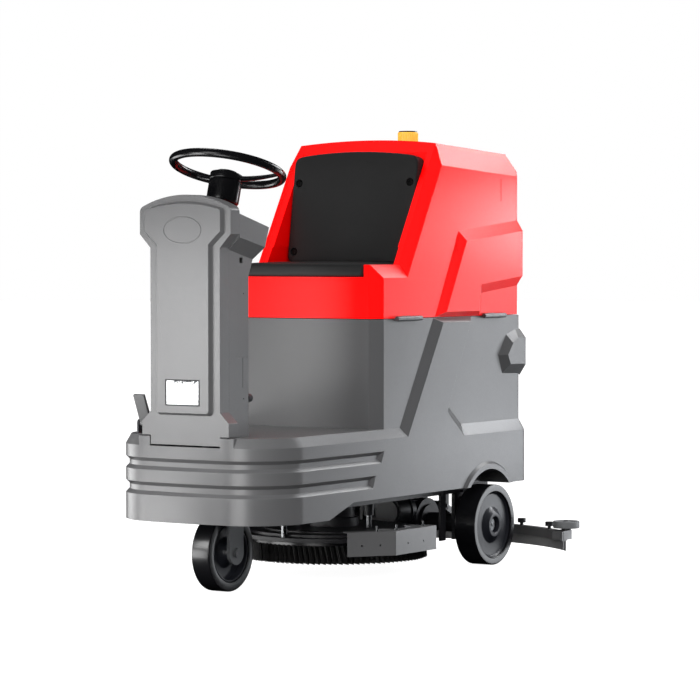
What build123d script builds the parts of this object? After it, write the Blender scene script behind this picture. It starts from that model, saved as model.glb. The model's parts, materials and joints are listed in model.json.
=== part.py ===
from build123d import *
import os
from math import atan2, cos, degrees, pi, radians, sin, sqrt, tan

# Ride-on floor scrubber, in millimetres.  +X is the machine's left side, -Y is its front, +Z is up.
# Stations along Y are measured from a datum plane; DATUM_Y moves the finished parts so that the
# whole machine is centred on the origin, which lies on the floor.
DATUM_Y = 41.0

# --- driving dimensions ---------------------------------------------------------------------
BRUSH_R = 255.0            # 20 inch disc brush, the size that names this class of machine
LOWER_HALF = 267.0         # half width of the lower body and of the raised side bands
UPPER_HALF = 252.5         # half width of the recessed side faces
STEP = LOWER_HALF - UPPER_HALF
LOWER_REAR = 532.0         # rear face of the lower body
UPPER_REAR = LOWER_REAR - STEP
RED_REAR = 508.0           # rear face of the recovery tank
BUMPER_FRONT = -788.0
BUMPER_SIDE_Y = -631.0     # where the rounded front corner meets the straight side
SKIRT_Z = 190.0            # lower edge of the bumper
BELLY_Z = 229.0            # lower edge of the body behind the bumper
DECK_Z = 412.5
DECK_EDGE_Z = 387.0
SEAM_Z = 707.5
SEAM_GAP = 0.8
WALL = 8.0

TANK_FRONT = -254.6
CORNER_X = 223.0
CORNER_Y = -224.7
SEAT_DECK_Z = 820.0
SEAT_SIDE_Z = 853.0
SEAT_HALF = 208.0
WING_INNER = 205.0
WING_FOOT = (-105.0, 853.0)
ROOF_FRONT = (90.0, 1188.0)
ROOF_REAR = (477.0, 1167.0)
ROOF_CROWN = 12.0

REAR_WHEEL_Y = 341.0
REAR_WHEEL_R = 114.0
REAR_WHEEL_WIDTH = 65.0
REAR_WHEEL_FACE = 268.0
FRONT_WHEEL_Y = -614.0
FRONT_WHEEL_R = 102.4
FRONT_WHEEL_WIDTH = 55.0
ARCH_Y = 304.0
ARCH_Z = 125.0
ARCH_R = 150.0

COLUMN_FRONT = -780.3
COLUMN_SPLIT = -740.0
COLUMN_REAR = -653.0
COLUMN_HALF = 110.0
SKIRT_HALF = 137.0
HEAD_HALF = 143.6
POCKET = 1.5               # depth of the locating pockets in the deck

PEDAL_PIVOT = (-725.0, 440.0)
PEDAL_X = -164.0

STEER_CENTRE = (0.0, -589.0, 1104.0)
STEER_TILT = 16.0          # degrees that the steering shaft leans towards the driver
STEER_R = 144.0            # centre line of the rim
RIM_TUBE = 11.5
LOWER_SHAFT_Y = -690.0
CHAIN_Z = 319.0
PINION_R = 20.0
FORK_SPROCKET_R = 40.0

BRUSH_Y = -80.0
BRUSH_BOTTOM = 47.0        # transport height of the bristle tips
DECK_TRAVEL = 45.0

SQUEEGEE_ARC_Y = 118.9     # centre of the squeegee's shallow arc
SQUEEGEE_ARC_R = 569.0
SQUEEGEE_HALF = 385.0
ARM_PIVOT = (455.0, 150.0)
SWIVEL_Y = 640.0
HINGE_X = 262.0
RUNNING = 0.06             # radial clearance of a running fit


# --- helpers -----------------------------------------------------------------------------------
ON_BASE = (Align.CENTER, Align.CENTER, Align.MIN)


def block(x0, x1, y0, y1, z0, z1):
    """Box given by its limits."""
    return Pos((x0 + x1) / 2, (y0 + y1) / 2, (z0 + z1) / 2) * Box(x1 - x0, y1 - y0, z1 - z0)


def rod(start, end, radius):
    """Cylinder between two points."""
    start = Vector(*start)
    direction = Vector(*end) - start
    base = Plane(origin=start, z_dir=direction)
    return base * Cylinder(radius, direction.length, align=ON_BASE)


def tube(start, end, outer, inner):
    """Hollow cylinder between two points."""
    start = Vector(*start)
    end = Vector(*end)
    over = (end - start).normalized() * 1.0
    return rod(start, end, outer) - rod(start - over, end + over, inner)


def side_prism(points, x0, x1):
    """Prism along X of an outline drawn in the (Y, Z) plane."""
    face = Plane.YZ.offset(x0) * Polygon(*points, align=None)
    return extrude(face, amount=x1 - x0, dir=(1, 0, 0))


def raised_side(base, top, x0=UPPER_HALF - 1.0, x1=LOWER_HALF):
    """Flat-topped band on the left side: outline `base` at x0, smaller outline `top` at x1."""
    lower = Plane.YZ.offset(x0) * Polygon(*base, align=None)
    upper = Plane.YZ.offset(x1) * Polygon(*top, align=None)
    return loft([lower, upper], ruled=True)


def beyond(a, b, c, toward):
    """Half space bounded by the plane through a, b and c, on the side of the point `toward`."""
    a = Vector(*a)
    normal = (Vector(*b) - a).cross(Vector(*c) - a).normalized()
    if (Vector(*toward) - a).dot(normal) < 0:
        normal = normal * -1
    size = 3000.0
    return Plane(origin=a, z_dir=normal) * Box(size, size, size, align=ON_BASE)


def both_sides(shape):
    """The shape and its mirror image across the machine's centre plane."""
    return shape + mirror(shape, Plane.YZ)


def solids_of(*shapes):
    """Separate solids kept in one part."""
    found = []
    for shape in shapes:
        found += shape.solids()
    return Compound(children=found)


def plan(inset, rear=LOWER_REAR):
    """Plan outline of the lower body, moved inwards by `inset`."""
    half = LOWER_HALF - inset
    front = BUMPER_FRONT + inset
    nose = 110.0
    corner = half - nose
    back = rear - inset
    soft = 28.0 - inset * 0.6
    bow = 5.0
    with BuildSketch() as outline:
        with BuildLine():
            Line((-half, BUMPER_SIDE_Y), (-half, back - soft))
            RadiusArc((-half, back - soft), (-half + soft, back), soft)
            Line((-half + soft, back), (half - soft, back))
            RadiusArc((half - soft, back), (half, back - soft), soft)
            Line((half, back - soft), (half, BUMPER_SIDE_Y))
            RadiusArc((half, BUMPER_SIDE_Y), (nose, front + bow), corner)
            ThreePointArc((nose, front + bow), (0, front), (-nose, front + bow))
            RadiusArc((-nose, front + bow), (-half, BUMPER_SIDE_Y), corner)
        make_face()
    return outline.sketch


def plan_slab(inset, z0, z1):
    return extrude(Pos(0, 0, z0) * plan(inset), amount=z1 - z0)


def plan_taper(inset0, z0, inset1, z1):
    return loft([Pos(0, 0, z0) * plan(inset0), Pos(0, 0, z1) * plan(inset1)], ruled=True)


def tank_plan(inset, rear):
    """Plan outline of the upper body behind the deck, with bevelled front corners."""
    half = LOWER_HALF - inset
    back = rear - inset
    soft = 28.0 - inset * 0.6
    shift = STEP - inset
    with BuildSketch() as outline:
        with BuildLine():
            Line((-CORNER_X - shift, TANK_FRONT), (-half, CORNER_Y))
            Line((-half, CORNER_Y), (-half, back - soft))
            RadiusArc((-half, back - soft), (-half + soft, back), soft)
            Line((-half + soft, back), (half - soft, back))
            RadiusArc((half - soft, back), (half, back - soft), soft)
            Line((half, back - soft), (half, CORNER_Y))
            Line((half, CORNER_Y), (CORNER_X + shift, TANK_FRONT))
            Line((CORNER_X + shift, TANK_FRONT), (-CORNER_X - shift, TANK_FRONT))
        make_face()
    return outline.sketch


def steer_point(along, across=0.0, side=0.0):
    """Point on or beside the tilted steering axis; `along` is measured up from the wheel centre."""
    lean = radians(STEER_TILT)
    x, y, z = STEER_CENTRE
    return (x + side, y + along * sin(lean) + across * cos(lean), z + along * cos(lean) - across * sin(lean))


# --- lower body and frame ----------------------------------------------------------------------
def groove(z0, z1, end_y):
    """Cutter for one groove round the bumper, with 45 degree flanks and slanted ends."""
    depth = 9.5
    outside = plan_slab(-4.0, z0 - 0.5, z1 + 0.5)
    core = plan_taper(0.0, z0, depth, z0 + depth)
    core += plan_slab(depth, z0 + depth, z1 - depth)
    core += plan_taper(depth, z1 - depth, 0.0, z1)
    ring = outside - core - plan_slab(-5.0, z0 - 2, z0) - plan_slab(-5.0, z1, z1 + 2)
    left = ring & block(0, 400, -900, 200, 0, 500)
    left -= beyond((LOWER_HALF, end_y, z1), (LOWER_HALF, end_y - 14, z0),
                   (LOWER_HALF - depth, end_y - depth, z1), (LOWER_HALF, 900, z1))
    return both_sides(left)


def base_body():
    # lower block, with its top edge bevelled to the deck in front and to the recess behind
    body = plan_slab(0.0, SKIRT_Z, 376.0)
    rear_half = block(-400, 400, 0, 700, 300, 500)
    front_half = block(-400, 400, -900, 0, 300, 500)
    body += (plan_slab(0.0, 376.0, DECK_EDGE_Z) + plan_taper(0.0, DECK_EDGE_Z, STEP, DECK_Z)) & front_half
    body += (plan_taper(0.0, 376.0, STEP, 408.0) + plan_slab(STEP, 408.0, DECK_Z)) & rear_half
    # the nose stays full height under the steering column
    nose = plan_slab(0.0, 376.0, DECK_Z) & block(-150, 150, -900, -700, 300, 500)
    body += nose
    body += extrude(Pos(0, 0, 400) * tank_plan(STEP, LOWER_REAR), amount=SEAM_Z - SEAM_GAP - 400)
    # diagonal raised band on each side
    top_z = SEAM_Z - SEAM_GAP
    base = [(28, top_z), (237, top_z), (112, 461), (187, 405), (245, 360), (-179, 360), (-147, 412)]
    top = [(62, 693), (209, 693), (82, 446), (174, 375), (193, 360), (-140, 360), (-123, 387)]
    body += both_sides(raised_side(base, top))
    # faceted bump on each rear corner
    base = [(431, 653), (484, 667), (560, 667), (560, 520), (497, 537), (408, 540), (385, 594)]
    top = [(439, 627), (470, 641), (560, 641), (560, 556), (500, 566), (425, 568), (410, 594)]
    bump = raised_side(base, top, UPPER_HALF - 1, LOWER_HALF + 5)
    body += both_sides(bump & block(200, 290, 380, UPPER_REAR - 6, 500, 700))
    for z0, z1, end_y in ((324.0, 355.0, -245.0), (259.0, 292.0, -287.0)):
        body -= groove(z0, z1, end_y)
    # raised belly behind the bumper skirt
    belly = [(-511, 180), (-511, 190), (-418, 221), (-395, BELLY_Z), (600, BELLY_Z), (600, 180)]
    body -= side_prism(belly, -400, 400)
    # wheel arches with a rolled lip
    lip = Plane.XY * Polygon((250, ARCH_R - 6), (275, ARCH_R), (275, 164), (266, 173), (250, 173), align=None)
    lip = Pos(0, ARCH_Y, ARCH_Z) * revolve(lip, axis=Axis.X, revolution_arc=360)
    body += both_sides(lip & block(240, 290, 100, 500, BELLY_Z, 320))
    wheel_well = rod((180, ARCH_Y, ARCH_Z), (300, ARCH_Y, ARCH_Z), ARCH_R)
    body -= both_sides(wheel_well)
    # hollow under the deck
    body -= plan_slab(18.0, SKIRT_Z - 1, 395.0) & block(-400, 400, -900, TANK_FRONT - 8, 0, 500)
    # battery bay, open at the top
    bay_front = TANK_FRONT + WALL
    bay_rear = UPPER_REAR - WALL - 4
    body -= block(-240, 240, CORNER_Y + 8, bay_rear, 290, 720)
    body -= block(-214, 214, bay_front, CORNER_Y + 9, 290, 720)
    body -= block(-160, 160, bay_front, bay_rear, 245, 291)
    # holes for the steering shaft and for the deck lift
    body -= rod((0, LOWER_SHAFT_Y, 380), (0, LOWER_SHAFT_Y, 430), 16)
    # notch for the tongue of the column cover
    body -= block(-111, 111, -800, COLUMN_SPLIT + 1, 387, 420)
    # shallow pockets in the deck that locate the column and the pedal bracket
    low, high = DECK_Z - POCKET, DECK_Z + 1
    body -= block(-COLUMN_HALF - 1, COLUMN_HALF + 1, -760, COLUMN_REAR + 1, low, high)
    body -= block(-SKIRT_HALF - 1, SKIRT_HALF + 1, COLUMN_FRONT - 1, COLUMN_SPLIT + 1, low, high)
    x, y = PEDAL_X, PEDAL_PIVOT[0]
    body -= block(x - 25, x + 25, y - 19, y + 19, low, high)
    # pockets for the lower leaves of the two hinges
    for y0, y1 in HINGE_SPANS:
        body -= block(UPPER_HALF - 3, 280, y0 - 1, y1 + 1, SEAM_Z - 7.2, SEAM_Z)
    return body


HINGE_SPANS = ((-173.0, -47.0), (289.0, 409.0))
HINGE_BARREL_R = 6.5
HINGE_PIN_R = 3.0


def hinge_knuckles(y0, y1):
    """Y limits of the three barrels of one hinge: base, tank, base."""
    third = (y1 - y0) / 3
    return [(y0, y0 + third - 0.4), (y0 + third, y1 - third), (y1 - third + 0.4, y1)]


def hinge_part(wanted, leaf_z0, leaf_z1):
    """Barrels with the given places in each hinge, and the leaf that carries them."""
    shapes = []
    for y0, y1 in HINGE_SPANS:
        for place, (a, b) in enumerate(hinge_knuckles(y0, y1)):
            if place in wanted:
                barrel = rod((HINGE_X, a, SEAM_Z), (HINGE_X, b, SEAM_Z), HINGE_BARREL_R)
                leaf = block(UPPER_HALF - 2.4, UPPER_HALF + 0.1, a, b, leaf_z0, leaf_z1)
                web = block(UPPER_HALF - 2.4, HINGE_X, a, b, leaf_z0 if leaf_z1 < SEAM_Z else SEAM_Z + 1.5,
                            SEAM_Z - 1.5 if leaf_z1 < SEAM_Z else leaf_z1)
                web &= block(UPPER_HALF - 2.4, HINGE_X, a, b, SEAM_Z - 5, SEAM_Z + 5)
                piece = barrel + web + leaf
                clear = HINGE_PIN_R + (RUNNING if 1 in wanted else 0.0)
                shapes.append(piece - rod((HINGE_X, a - 1, SEAM_Z), (HINGE_X, b + 1, SEAM_Z), clear))
    return solids_of(*shapes)


def hinge_base():
    """Lower leaves with their barrels, and the pins pressed into them."""
    pins = [rod((HINGE_X, y0 - 1, SEAM_Z), (HINGE_X, y1 + 1, SEAM_Z), HINGE_PIN_R) for y0, y1 in HINGE_SPANS]
    return solids_of(hinge_part((0, 2), SEAM_Z - 7, SEAM_Z - 1.5), *pins)


def hinge_tank():
    return hinge_part((1,), SEAM_Z + 1.5, SEAM_Z + 7)


RAIL_X0, RAIL_X1 = 130.0, 170.0
RAIL_Z0 = 203.0
NECK_Z0, NECK_Z1 = 262.0, 270.0
BUSH_X = 113.0
BUSH_R = 14.0
GUIDE_R = 8.0
ACTUATOR_Y = -328.0


def axle_carrier(side):
    """Upright plate that carries the end of the rear axle tube."""
    x0, x1 = sorted((side * 150, side * 160))
    y, z = REAR_WHEEL_Y, REAR_WHEEL_R
    plate = block(x0, x1, 300, 382, 70, RAIL_Z0)
    return plate - rod((side * 140, y, z), (side * 175, y, z), AXLE_TUBE_R)


def guide_bush(side):
    """Bush for one guide rod of the brush deck, on a bracket that reaches out to the rail."""
    x = side * BUSH_X
    bush = rod((x, BRUSH_Y, 165), (x, BRUSH_Y, BELLY_Z), BUSH_R)
    bush += block(*sorted((x, side * RAIL_X0)), BRUSH_Y - 10, BRUSH_Y + 10, 205, 227)
    return bush - rod((x, BRUSH_Y, 160), (x, BRUSH_Y, 240), GUIDE_R + RUNNING)


def chassis_frame():
    """Ladder frame: rails, cross members, neck plate and brackets, each member a solid of its own."""
    members = []
    for side in (-1, 1):
        members.append(block(*sorted((side * RAIL_X0, side * RAIL_X1)), -600, 470, RAIL_Z0, BELLY_Z))
        members.append(block(*sorted((side * 150, side * 160)), -600, -520, BELLY_Z, NECK_Z0))
        members.append(block(*sorted((side * 163, side * 170)), 208, 236, 73, RAIL_Z0))
        members.append(axle_carrier(side))
        members.append(guide_bush(side))
    for y0, y1 in ((-358, -300), (184, 200), (440, 470)):
        beam = block(-RAIL_X0, RAIL_X0, y0, y1, RAIL_Z0, BELLY_Z)
        members.append(beam - rod((0, ACTUATOR_Y, 190), (0, ACTUATOR_Y, 240), 22.0))
    neck = block(-190, 190, -725, -520, NECK_Z0, NECK_Z1)
    neck -= rod((0, FRONT_WHEEL_Y, 240), (0, FRONT_WHEEL_Y, 300), 31.0)
    members.append(neck - rod((0, LOWER_SHAFT_Y, 240), (0, LOWER_SHAFT_Y, 300), 8.0 + RUNNING))
    # ears for the squeegee arm
    y, z = ARM_PIVOT
    for x0, x1 in ((-40, -32), (32, 40)):
        ear = block(x0, x1, y - 14, y + 14, z, RAIL_Z0) + rod((x0, y, z), (x1, y, z), 14)
        members.append(ear - rod((-45, y, z), (45, y, z), 6.0))
    return solids_of(*members)


# --- steering column ---------------------------------------------------------------------------
def cover_outline(grow, z_low=DECK_EDGE_Z + 1.0):
    """Front outline of the column with its head, as a face in the (X, Z) plane at Y = 0."""
    head = HEAD_HALF + grow
    half = COLUMN_HALF + grow
    skirt = SKIRT_HALF + grow
    with BuildSketch(Plane.XZ) as outline:
        with BuildLine():
            Polyline((-head, 1000), (-head, 933 - grow), (-half, 898 - grow), (-half, 477 + grow),
                     (-skirt, 450), (-skirt, DECK_Z + 0.6), (-half, DECK_Z + 0.6), (-half, z_low),
                     (half, z_low), (half, DECK_Z + 0.6), (skirt, DECK_Z + 0.6), (skirt, 450),
                     (half, 477 + grow), (half, 898 - grow), (head, 933 - grow), (head, 1000))
            ThreePointArc((head, 1000), (0, 1034 + grow), (-head, 1000))
        make_face()
        outermost = outline.vertices().filter_by(lambda corner: abs(corner.X) > head - 1)
        fillet(outermost.filter_by(lambda corner: corner.Y > 990), 18)
        fillet(outermost.filter_by(lambda corner: corner.Y < 990), 9)
    return outline.sketch


def panel_outline(grow):
    """Outline of the raised panel on the column cover."""
    wide = 119.0 + grow
    slim = 82.0 + grow
    with BuildSketch(Plane.XZ) as outline:
        with BuildLine():
            Polyline((-wide, 995), (-wide, 940 - grow), (-slim, 907 - grow), (-slim, 474 - grow),
                     (slim, 474 - grow), (slim, 907 - grow), (wide, 940 - grow), (wide, 995))
            ThreePointArc((wide, 995), (0, 1011 + grow), (-wide, 995))
        make_face()
        ends = outline.vertices().filter_by(lambda corner: corner.Y > 990 or corner.Y < 480)
        fillet(ends, 9)
    return outline.sketch


LAMP_HALF = 54.0
LAMP_Z0, LAMP_Z1 = 493.0, 560.0
PANEL_RISE = 12.0


def column_cover():
    cover = extrude(Pos(0, COLUMN_SPLIT, 0) * cover_outline(0.0), amount=COLUMN_SPLIT - COLUMN_FRONT)
    low = Pos(0, COLUMN_FRONT + 1, 0) * panel_outline(6.0)
    high = Pos(0, COLUMN_FRONT - PANEL_RISE, 0) * panel_outline(0.0)
    cover += loft([low, high], ruled=True)
    oval = Plane.XZ.offset(-COLUMN_FRONT + PANEL_RISE) * (Ellipse(60, 35) - Ellipse(57.5, 32.5))
    cover += Pos(0, 0, 943) * extrude(oval, amount=1.2)
    cover -= block(-104, 104, COLUMN_FRONT + 7, COLUMN_SPLIT + 1, 420, 893)
    cover -= block(-136, 136, COLUMN_FRONT + 7, COLUMN_SPLIT + 1, 936, 994)
    cover -= block(-104, 104, COLUMN_FRONT + 7, COLUMN_SPLIT + 1, 890, 940)
    cover -= block(-LAMP_HALF, LAMP_HALF, -820, COLUMN_SPLIT + 1, LAMP_Z0, LAMP_Z1)
    return cover


def column_housing():
    foot = DECK_Z - POCKET
    back = [(COLUMN_SPLIT, foot), (COLUMN_REAR, foot), (COLUMN_REAR, 825), (-634, 868), (COLUMN_SPLIT, 893)]
    housing = side_prism(back, -COLUMN_HALF, COLUMN_HALF)
    # flare up to the head
    lower = make_face(Polyline((-COLUMN_HALF, COLUMN_SPLIT, 893), (COLUMN_HALF, COLUMN_SPLIT, 893),
                               (COLUMN_HALF, -634, 868), (-COLUMN_HALF, -634, 868), close=True))
    upper = make_face(Polyline((-HEAD_HALF, COLUMN_SPLIT, 925), (HEAD_HALF, COLUMN_SPLIT, 925),
                               (HEAD_HALF, -626, 899), (-HEAD_HALF, -626, 899), close=True))
    housing += loft([lower, upper], ruled=True)
    head = [(COLUMN_SPLIT, 925), (COLUMN_SPLIT, 985), (-608, 951), (-626, 899)]
    housing += side_prism(head, -HEAD_HALF, HEAD_HALF)
    # hollow inside, closed at the top by the control panel
    hollow = [(COLUMN_SPLIT - 1, foot - 1), (COLUMN_REAR - 4, foot - 1), (COLUMN_REAR - 4, 826),
              (-640, 870), (COLUMN_SPLIT - 1, 890)]
    housing -= side_prism(hollow, -106, 106)
    throat = [(COLUMN_SPLIT - 1, 860), (-640, 860), (-632, 905), (-618, 946), (COLUMN_SPLIT - 1, 977)]
    housing -= side_prism(throat, -104, 104)
    head_space = [(COLUMN_SPLIT - 1, 929), (-632, 905), (-618, 946), (COLUMN_SPLIT - 1, 977)]
    housing -= side_prism(head_space, -138, 138)
    housing -= rod(steer_point(-260), steer_point(0), 13.0)
    for place in CONTROL_PLACES.values():
        housing -= rod(panel_point(*place, -12), panel_point(*place, 5), 9.0)
    housing -= rod((KNOB_X, COLUMN_REAR - 10, KNOB_Z), (KNOB_X, COLUMN_REAR + 1, KNOB_Z), 4.0 + RUNNING)
    # access hole on the left flank and slot for the tilt lever
    housing -= block(100, 120, -693, -679, 859, 873)
    housing -= block(COLUMN_HALF - 1.2, 120, -705, -659, 615, 617.5)
    housing -= block(COLUMN_HALF - 1.2, 120, -680.2, -677.8, 538, 616)
    for z in (780, 509):
        housing -= rod((COLUMN_HALF - 3, -675, z), (120, -675, z), 2.0)
    return housing


PANEL_TILT = degrees(atan2(985 - 951, -608 - COLUMN_SPLIT))
CONTROL_PLACES = {
    "emergency_stop": (-104.0, 86.0),
    "key_switch": (-104.0, 40.0),
    "speed_knob": (-58.0, 86.0),
    "horn_button": (-58.0, 40.0),
    "direction_rocker": (-20.0, 40.0),
}


def panel_point(x, along, height):
    """Point over the sloping head: `along` from its front edge, `height` off its surface."""
    lean = radians(PANEL_TILT)
    y = COLUMN_SPLIT + along * cos(lean) + height * sin(lean)
    z = 985 - along * sin(lean) + height * cos(lean)
    return (x, y, z)


def panel_rod(x, along, low, high, radius):
    return rod(panel_point(x, along, low), panel_point(x, along, high), radius)


def control_panel():
    corner = panel_point(0, 0, 0)
    plane = Plane(origin=corner, x_dir=(1, 0, 0), z_dir=Vector(*panel_point(0, 0, 1)) - Vector(*corner))
    panel = plane * Pos(0, 68, 1.25) * Box(256, 118, 2.5)
    panel = fillet(panel.edges().filter_by(Axis(corner, plane.z_dir)), 8)
    panel -= rod(steer_point(-200), steer_point(0), 12.0)
    for name, (x, along) in CONTROL_PLACES.items():
        panel -= panel_rod(x, along, -1, 4, 6.0 + RUNNING)
    # framed window of the hour meter
    panel += plane * Pos(52, 52, 3.0) * Box(64, 30, 1.2)
    return panel


def emergency_stop():
    x, along = CONTROL_PLACES["emergency_stop"]
    return (panel_rod(x, along, -10, 8.0, 6.0) + panel_rod(x, along, 7.9, 15.5, 14.0)
            + panel_rod(x, along, 15.4, 18.5, 11.5))


def key_switch():
    x, along = CONTROL_PLACES["key_switch"]
    lean = -PANEL_TILT
    bow = Pos(*panel_point(x, along, 11)) * Rot(lean, 0, 0) * Box(3, 20, 15)
    return panel_rod(x, along, -10, 4.5, 6.0) + panel_rod(x, along, 2.8, 4.4, 9.0) + bow


def speed_knob():
    x, along = CONTROL_PLACES["speed_knob"]
    knob = panel_rod(x, along, -10, 3.2, 6.0) + panel_rod(x, along, 3.1, 14, 11.0)
    mark = Pos(*panel_point(x, along - 7, 14)) * Rot(-PANEL_TILT, 0, 0) * Box(1.6, 8, 1.2)
    return knob + mark


def horn_button():
    x, along = CONTROL_PLACES["horn_button"]
    return panel_rod(x, along, -10, 7.0, 6.0) + panel_rod(x, along, 7.0, 8.5, 5.0)


def direction_rocker():
    x, along = CONTROL_PLACES["direction_rocker"]
    ball = Pos(*panel_point(x, along, 1.2)) * Sphere(4.6)
    trunnion = rod(panel_point(x - 5.2, along, 1.2), panel_point(x + 5.2, along, 1.2), 2.0)
    tip = Pos(*panel_point(x, along, 15)) * Sphere(3.6)
    return ball + trunnion + panel_rod(x, along, -7, 15, 2.2) + tip


def headlight_bezel():
    outer = block(-LAMP_HALF, LAMP_HALF, COLUMN_FRONT - PANEL_RISE - 1.5, COLUMN_SPLIT - 6, LAMP_Z0, LAMP_Z1)
    return outer - block(-LAMP_HALF + 3, LAMP_HALF - 3, -820, COLUMN_SPLIT - 14, LAMP_Z0 + 3, LAMP_Z1 - 3)


def headlight_lens():
    front = COLUMN_FRONT - PANEL_RISE + 1.0
    return block(-LAMP_HALF + 3, LAMP_HALF - 3, front, front + 5, LAMP_Z0 + 3, LAMP_Z1 - 3)


KNOB_X, KNOB_Z = 101.0, 510.0


def column_knob():
    knob = rod((KNOB_X, COLUMN_REAR + 0.5, KNOB_Z), (KNOB_X, COLUMN_REAR + 17, KNOB_Z), 11.0)
    return knob + rod((KNOB_X, COLUMN_REAR - 6, KNOB_Z), (KNOB_X, COLUMN_REAR + 1, KNOB_Z), 4.0)


# --- steering ------------------------------------------------------------------------------------
def steering_wheel():
    """Rim, two dished spokes and their plate, drawn level and then leant on the shaft."""
    wheel = Torus(STEER_R, RIM_TUBE)
    for turn in (20, 160):
        wheel += Rot(0, 0, turn) * rod((24, 0, -22), (STEER_R - 2, 0, -1), 7.0)
    wheel += Pos(0, 0, -24) * Cylinder(36, 20)
    wheel -= Pos(0, 0, -20) * Cylinder(8, 60)
    axis = Vector(*steer_point(1)) - Vector(*steer_point(0))
    return Plane(origin=steer_point(0), x_dir=(1, 0, 0), z_dir=axis) * wheel


def steering_hub():
    hub = rod(steer_point(-92), steer_point(-34), 43.0)
    hub -= rod(steer_point(-93), steer_point(-40), 38.0)
    cap = rod(steer_point(-14), steer_point(-6), 30.0)
    return solids_of(hub - rod(steer_point(-95), steer_point(0), 8.0), cap)


BALL_Y = LOWER_SHAFT_Y
BALL_Z = STEER_CENTRE[2] + (LOWER_SHAFT_Y - STEER_CENTRE[1]) / tan(radians(STEER_TILT))
BALL_R = 9.0


def steering_shaft():
    ball = (0, BALL_Y, BALL_Z)
    down = -((Vector(*STEER_CENTRE) - Vector(*ball)).length)
    shaft = rod(steer_point(down), steer_point(-14), 8.0)
    socket = rod(steer_point(down - 4), steer_point(down + 16), 14.0)
    shaft += socket
    return shaft - Pos(*ball) * Sphere(BALL_R + 0.3) - rod(steer_point(down - 20), steer_point(down), 12.4)


def lower_shaft():
    shaft = rod((0, BALL_Y, CHAIN_Z - 62), (0, BALL_Y, BALL_Z - 4), 8.0)
    shaft += Pos(0, BALL_Y, BALL_Z) * Sphere(BALL_R)
    # collar that rests on the neck plate
    return shaft + rod((0, BALL_Y, CHAIN_Z - 49), (0, BALL_Y, CHAIN_Z - 44), 14.0)


def sprocket(y, radius, bore, teeth):
    """Chain wheel: a disc with a ring of round-rooted teeth on a hub."""
    wheel = rod((0, y, CHAIN_Z - 3), (0, y, CHAIN_Z + 3), radius + 2.0)
    for tooth in range(teeth):
        a = 2 * pi * tooth / teeth
        x, dy = (radius + 2.0) * cos(a), (radius + 2.0) * sin(a)
        wheel -= rod((x, y + dy, CHAIN_Z - 4), (x, y + dy, CHAIN_Z + 4), 3.2)
    wheel += rod((0, y, CHAIN_Z - 12), (0, y, CHAIN_Z + 8), bore + 6)
    return wheel - rod((0, y, CHAIN_Z - 20), (0, y, CHAIN_Z + 20), bore)


def shaft_sprocket():
    return sprocket(LOWER_SHAFT_Y, PINION_R, 8.0, 12)


def fork_sprocket():
    return sprocket(FRONT_WHEEL_Y, FORK_SPROCKET_R, 15.0, 24)


def chain_loop(grow):
    """Outline of a belt round both sprockets, `grow` outside their pitch circles."""
    near, far = PINION_R + grow, FORK_SPROCKET_R + grow
    span = FRONT_WHEEL_Y - LOWER_SHAFT_Y
    lean = (near - far) / span
    side = sqrt(1 - lean * lean)
    a = (near * side, LOWER_SHAFT_Y + near * lean)
    b = (far * side, FRONT_WHEEL_Y + far * lean)
    with BuildSketch() as loop:
        with BuildLine():
            Line(a, b)
            ThreePointArc(b, (0, FRONT_WHEEL_Y + far), (-b[0], b[1]))
            Line((-b[0], b[1]), (-a[0], a[1]))
            ThreePointArc((-a[0], a[1]), (0, LOWER_SHAFT_Y - near), a)
        make_face()
    return loop.sketch


def steering_chain():
    """Roller chain round both sprockets, as one closed band."""
    band = chain_loop(8.0) - chain_loop(3.0)
    return extrude(Pos(0, 0, CHAIN_Z - 3) * band, amount=6)


FORK_LEG_OUT = 45.0
FORK_LEG = 9.5
FORK_CROWN_Z = 217.0
STEM_R = 15.0
AXLE_R = 8.0


def fork():
    y = FRONT_WHEEL_Y
    z = FRONT_WHEEL_R
    frame = block(-FORK_LEG_OUT, FORK_LEG_OUT, y - 32, y + 32, FORK_CROWN_Z, FORK_CROWN_Z + 10)
    for x0, x1 in ((-FORK_LEG_OUT, FORK_LEG - FORK_LEG_OUT), (FORK_LEG_OUT - FORK_LEG, FORK_LEG_OUT)):
        frame += block(x0, x1, y - 32, y + 32, z, FORK_CROWN_Z + 1) + rod((x0, y, z), (x1, y, z), 32.0)
    frame += rod((0, y, FORK_CROWN_Z + 5), (0, y, CHAIN_Z + 12), STEM_R)
    frame += rod((0, y, FORK_CROWN_Z + 9), (0, y, FORK_CROWN_Z + 15), 24.0)
    return frame - rod((-50, y, z), (50, y, z), AXLE_R)


def fork_bearings():
    y = FRONT_WHEEL_Y
    housing = tube((0, y, 240), (0, y, 300), 31.0, 22.0)
    housing += tube((0, y, NECK_Z1), (0, y, NECK_Z1 + 7), 45.0, 30.0)
    shapes = [housing]
    for z0 in (241, 284):
        shapes.append(tube((0, y, z0), (0, y, z0 + 15), 22.0, STEM_R + RUNNING))
    return solids_of(*shapes)


def front_axle():
    y, z = FRONT_WHEEL_Y, FRONT_WHEEL_R
    axle = rod((-51, y, z), (51, y, z), AXLE_R)
    for side in (-1, 1):
        axle += rod((side * 45, y, z), (side * 50, y, z), 12.5)
    return axle


def tyre(half_width, centre, radius, inner, soft):
    """Solid tyre about the X axis through `centre` (x, y, z), with rounded shoulders."""
    x, y, z = centre
    profile = Polygon((-half_width, inner), (half_width, inner), (half_width, radius - soft),
                      (half_width - soft * 0.3, radius - soft * 0.3), (half_width - soft, radius),
                      (-half_width + soft, radius), (-half_width + soft * 0.3, radius - soft * 0.3),
                      (-half_width, radius - soft), align=None)
    return Pos(x, y, z) * revolve(profile, axis=Axis.X, revolution_arc=360)


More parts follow.
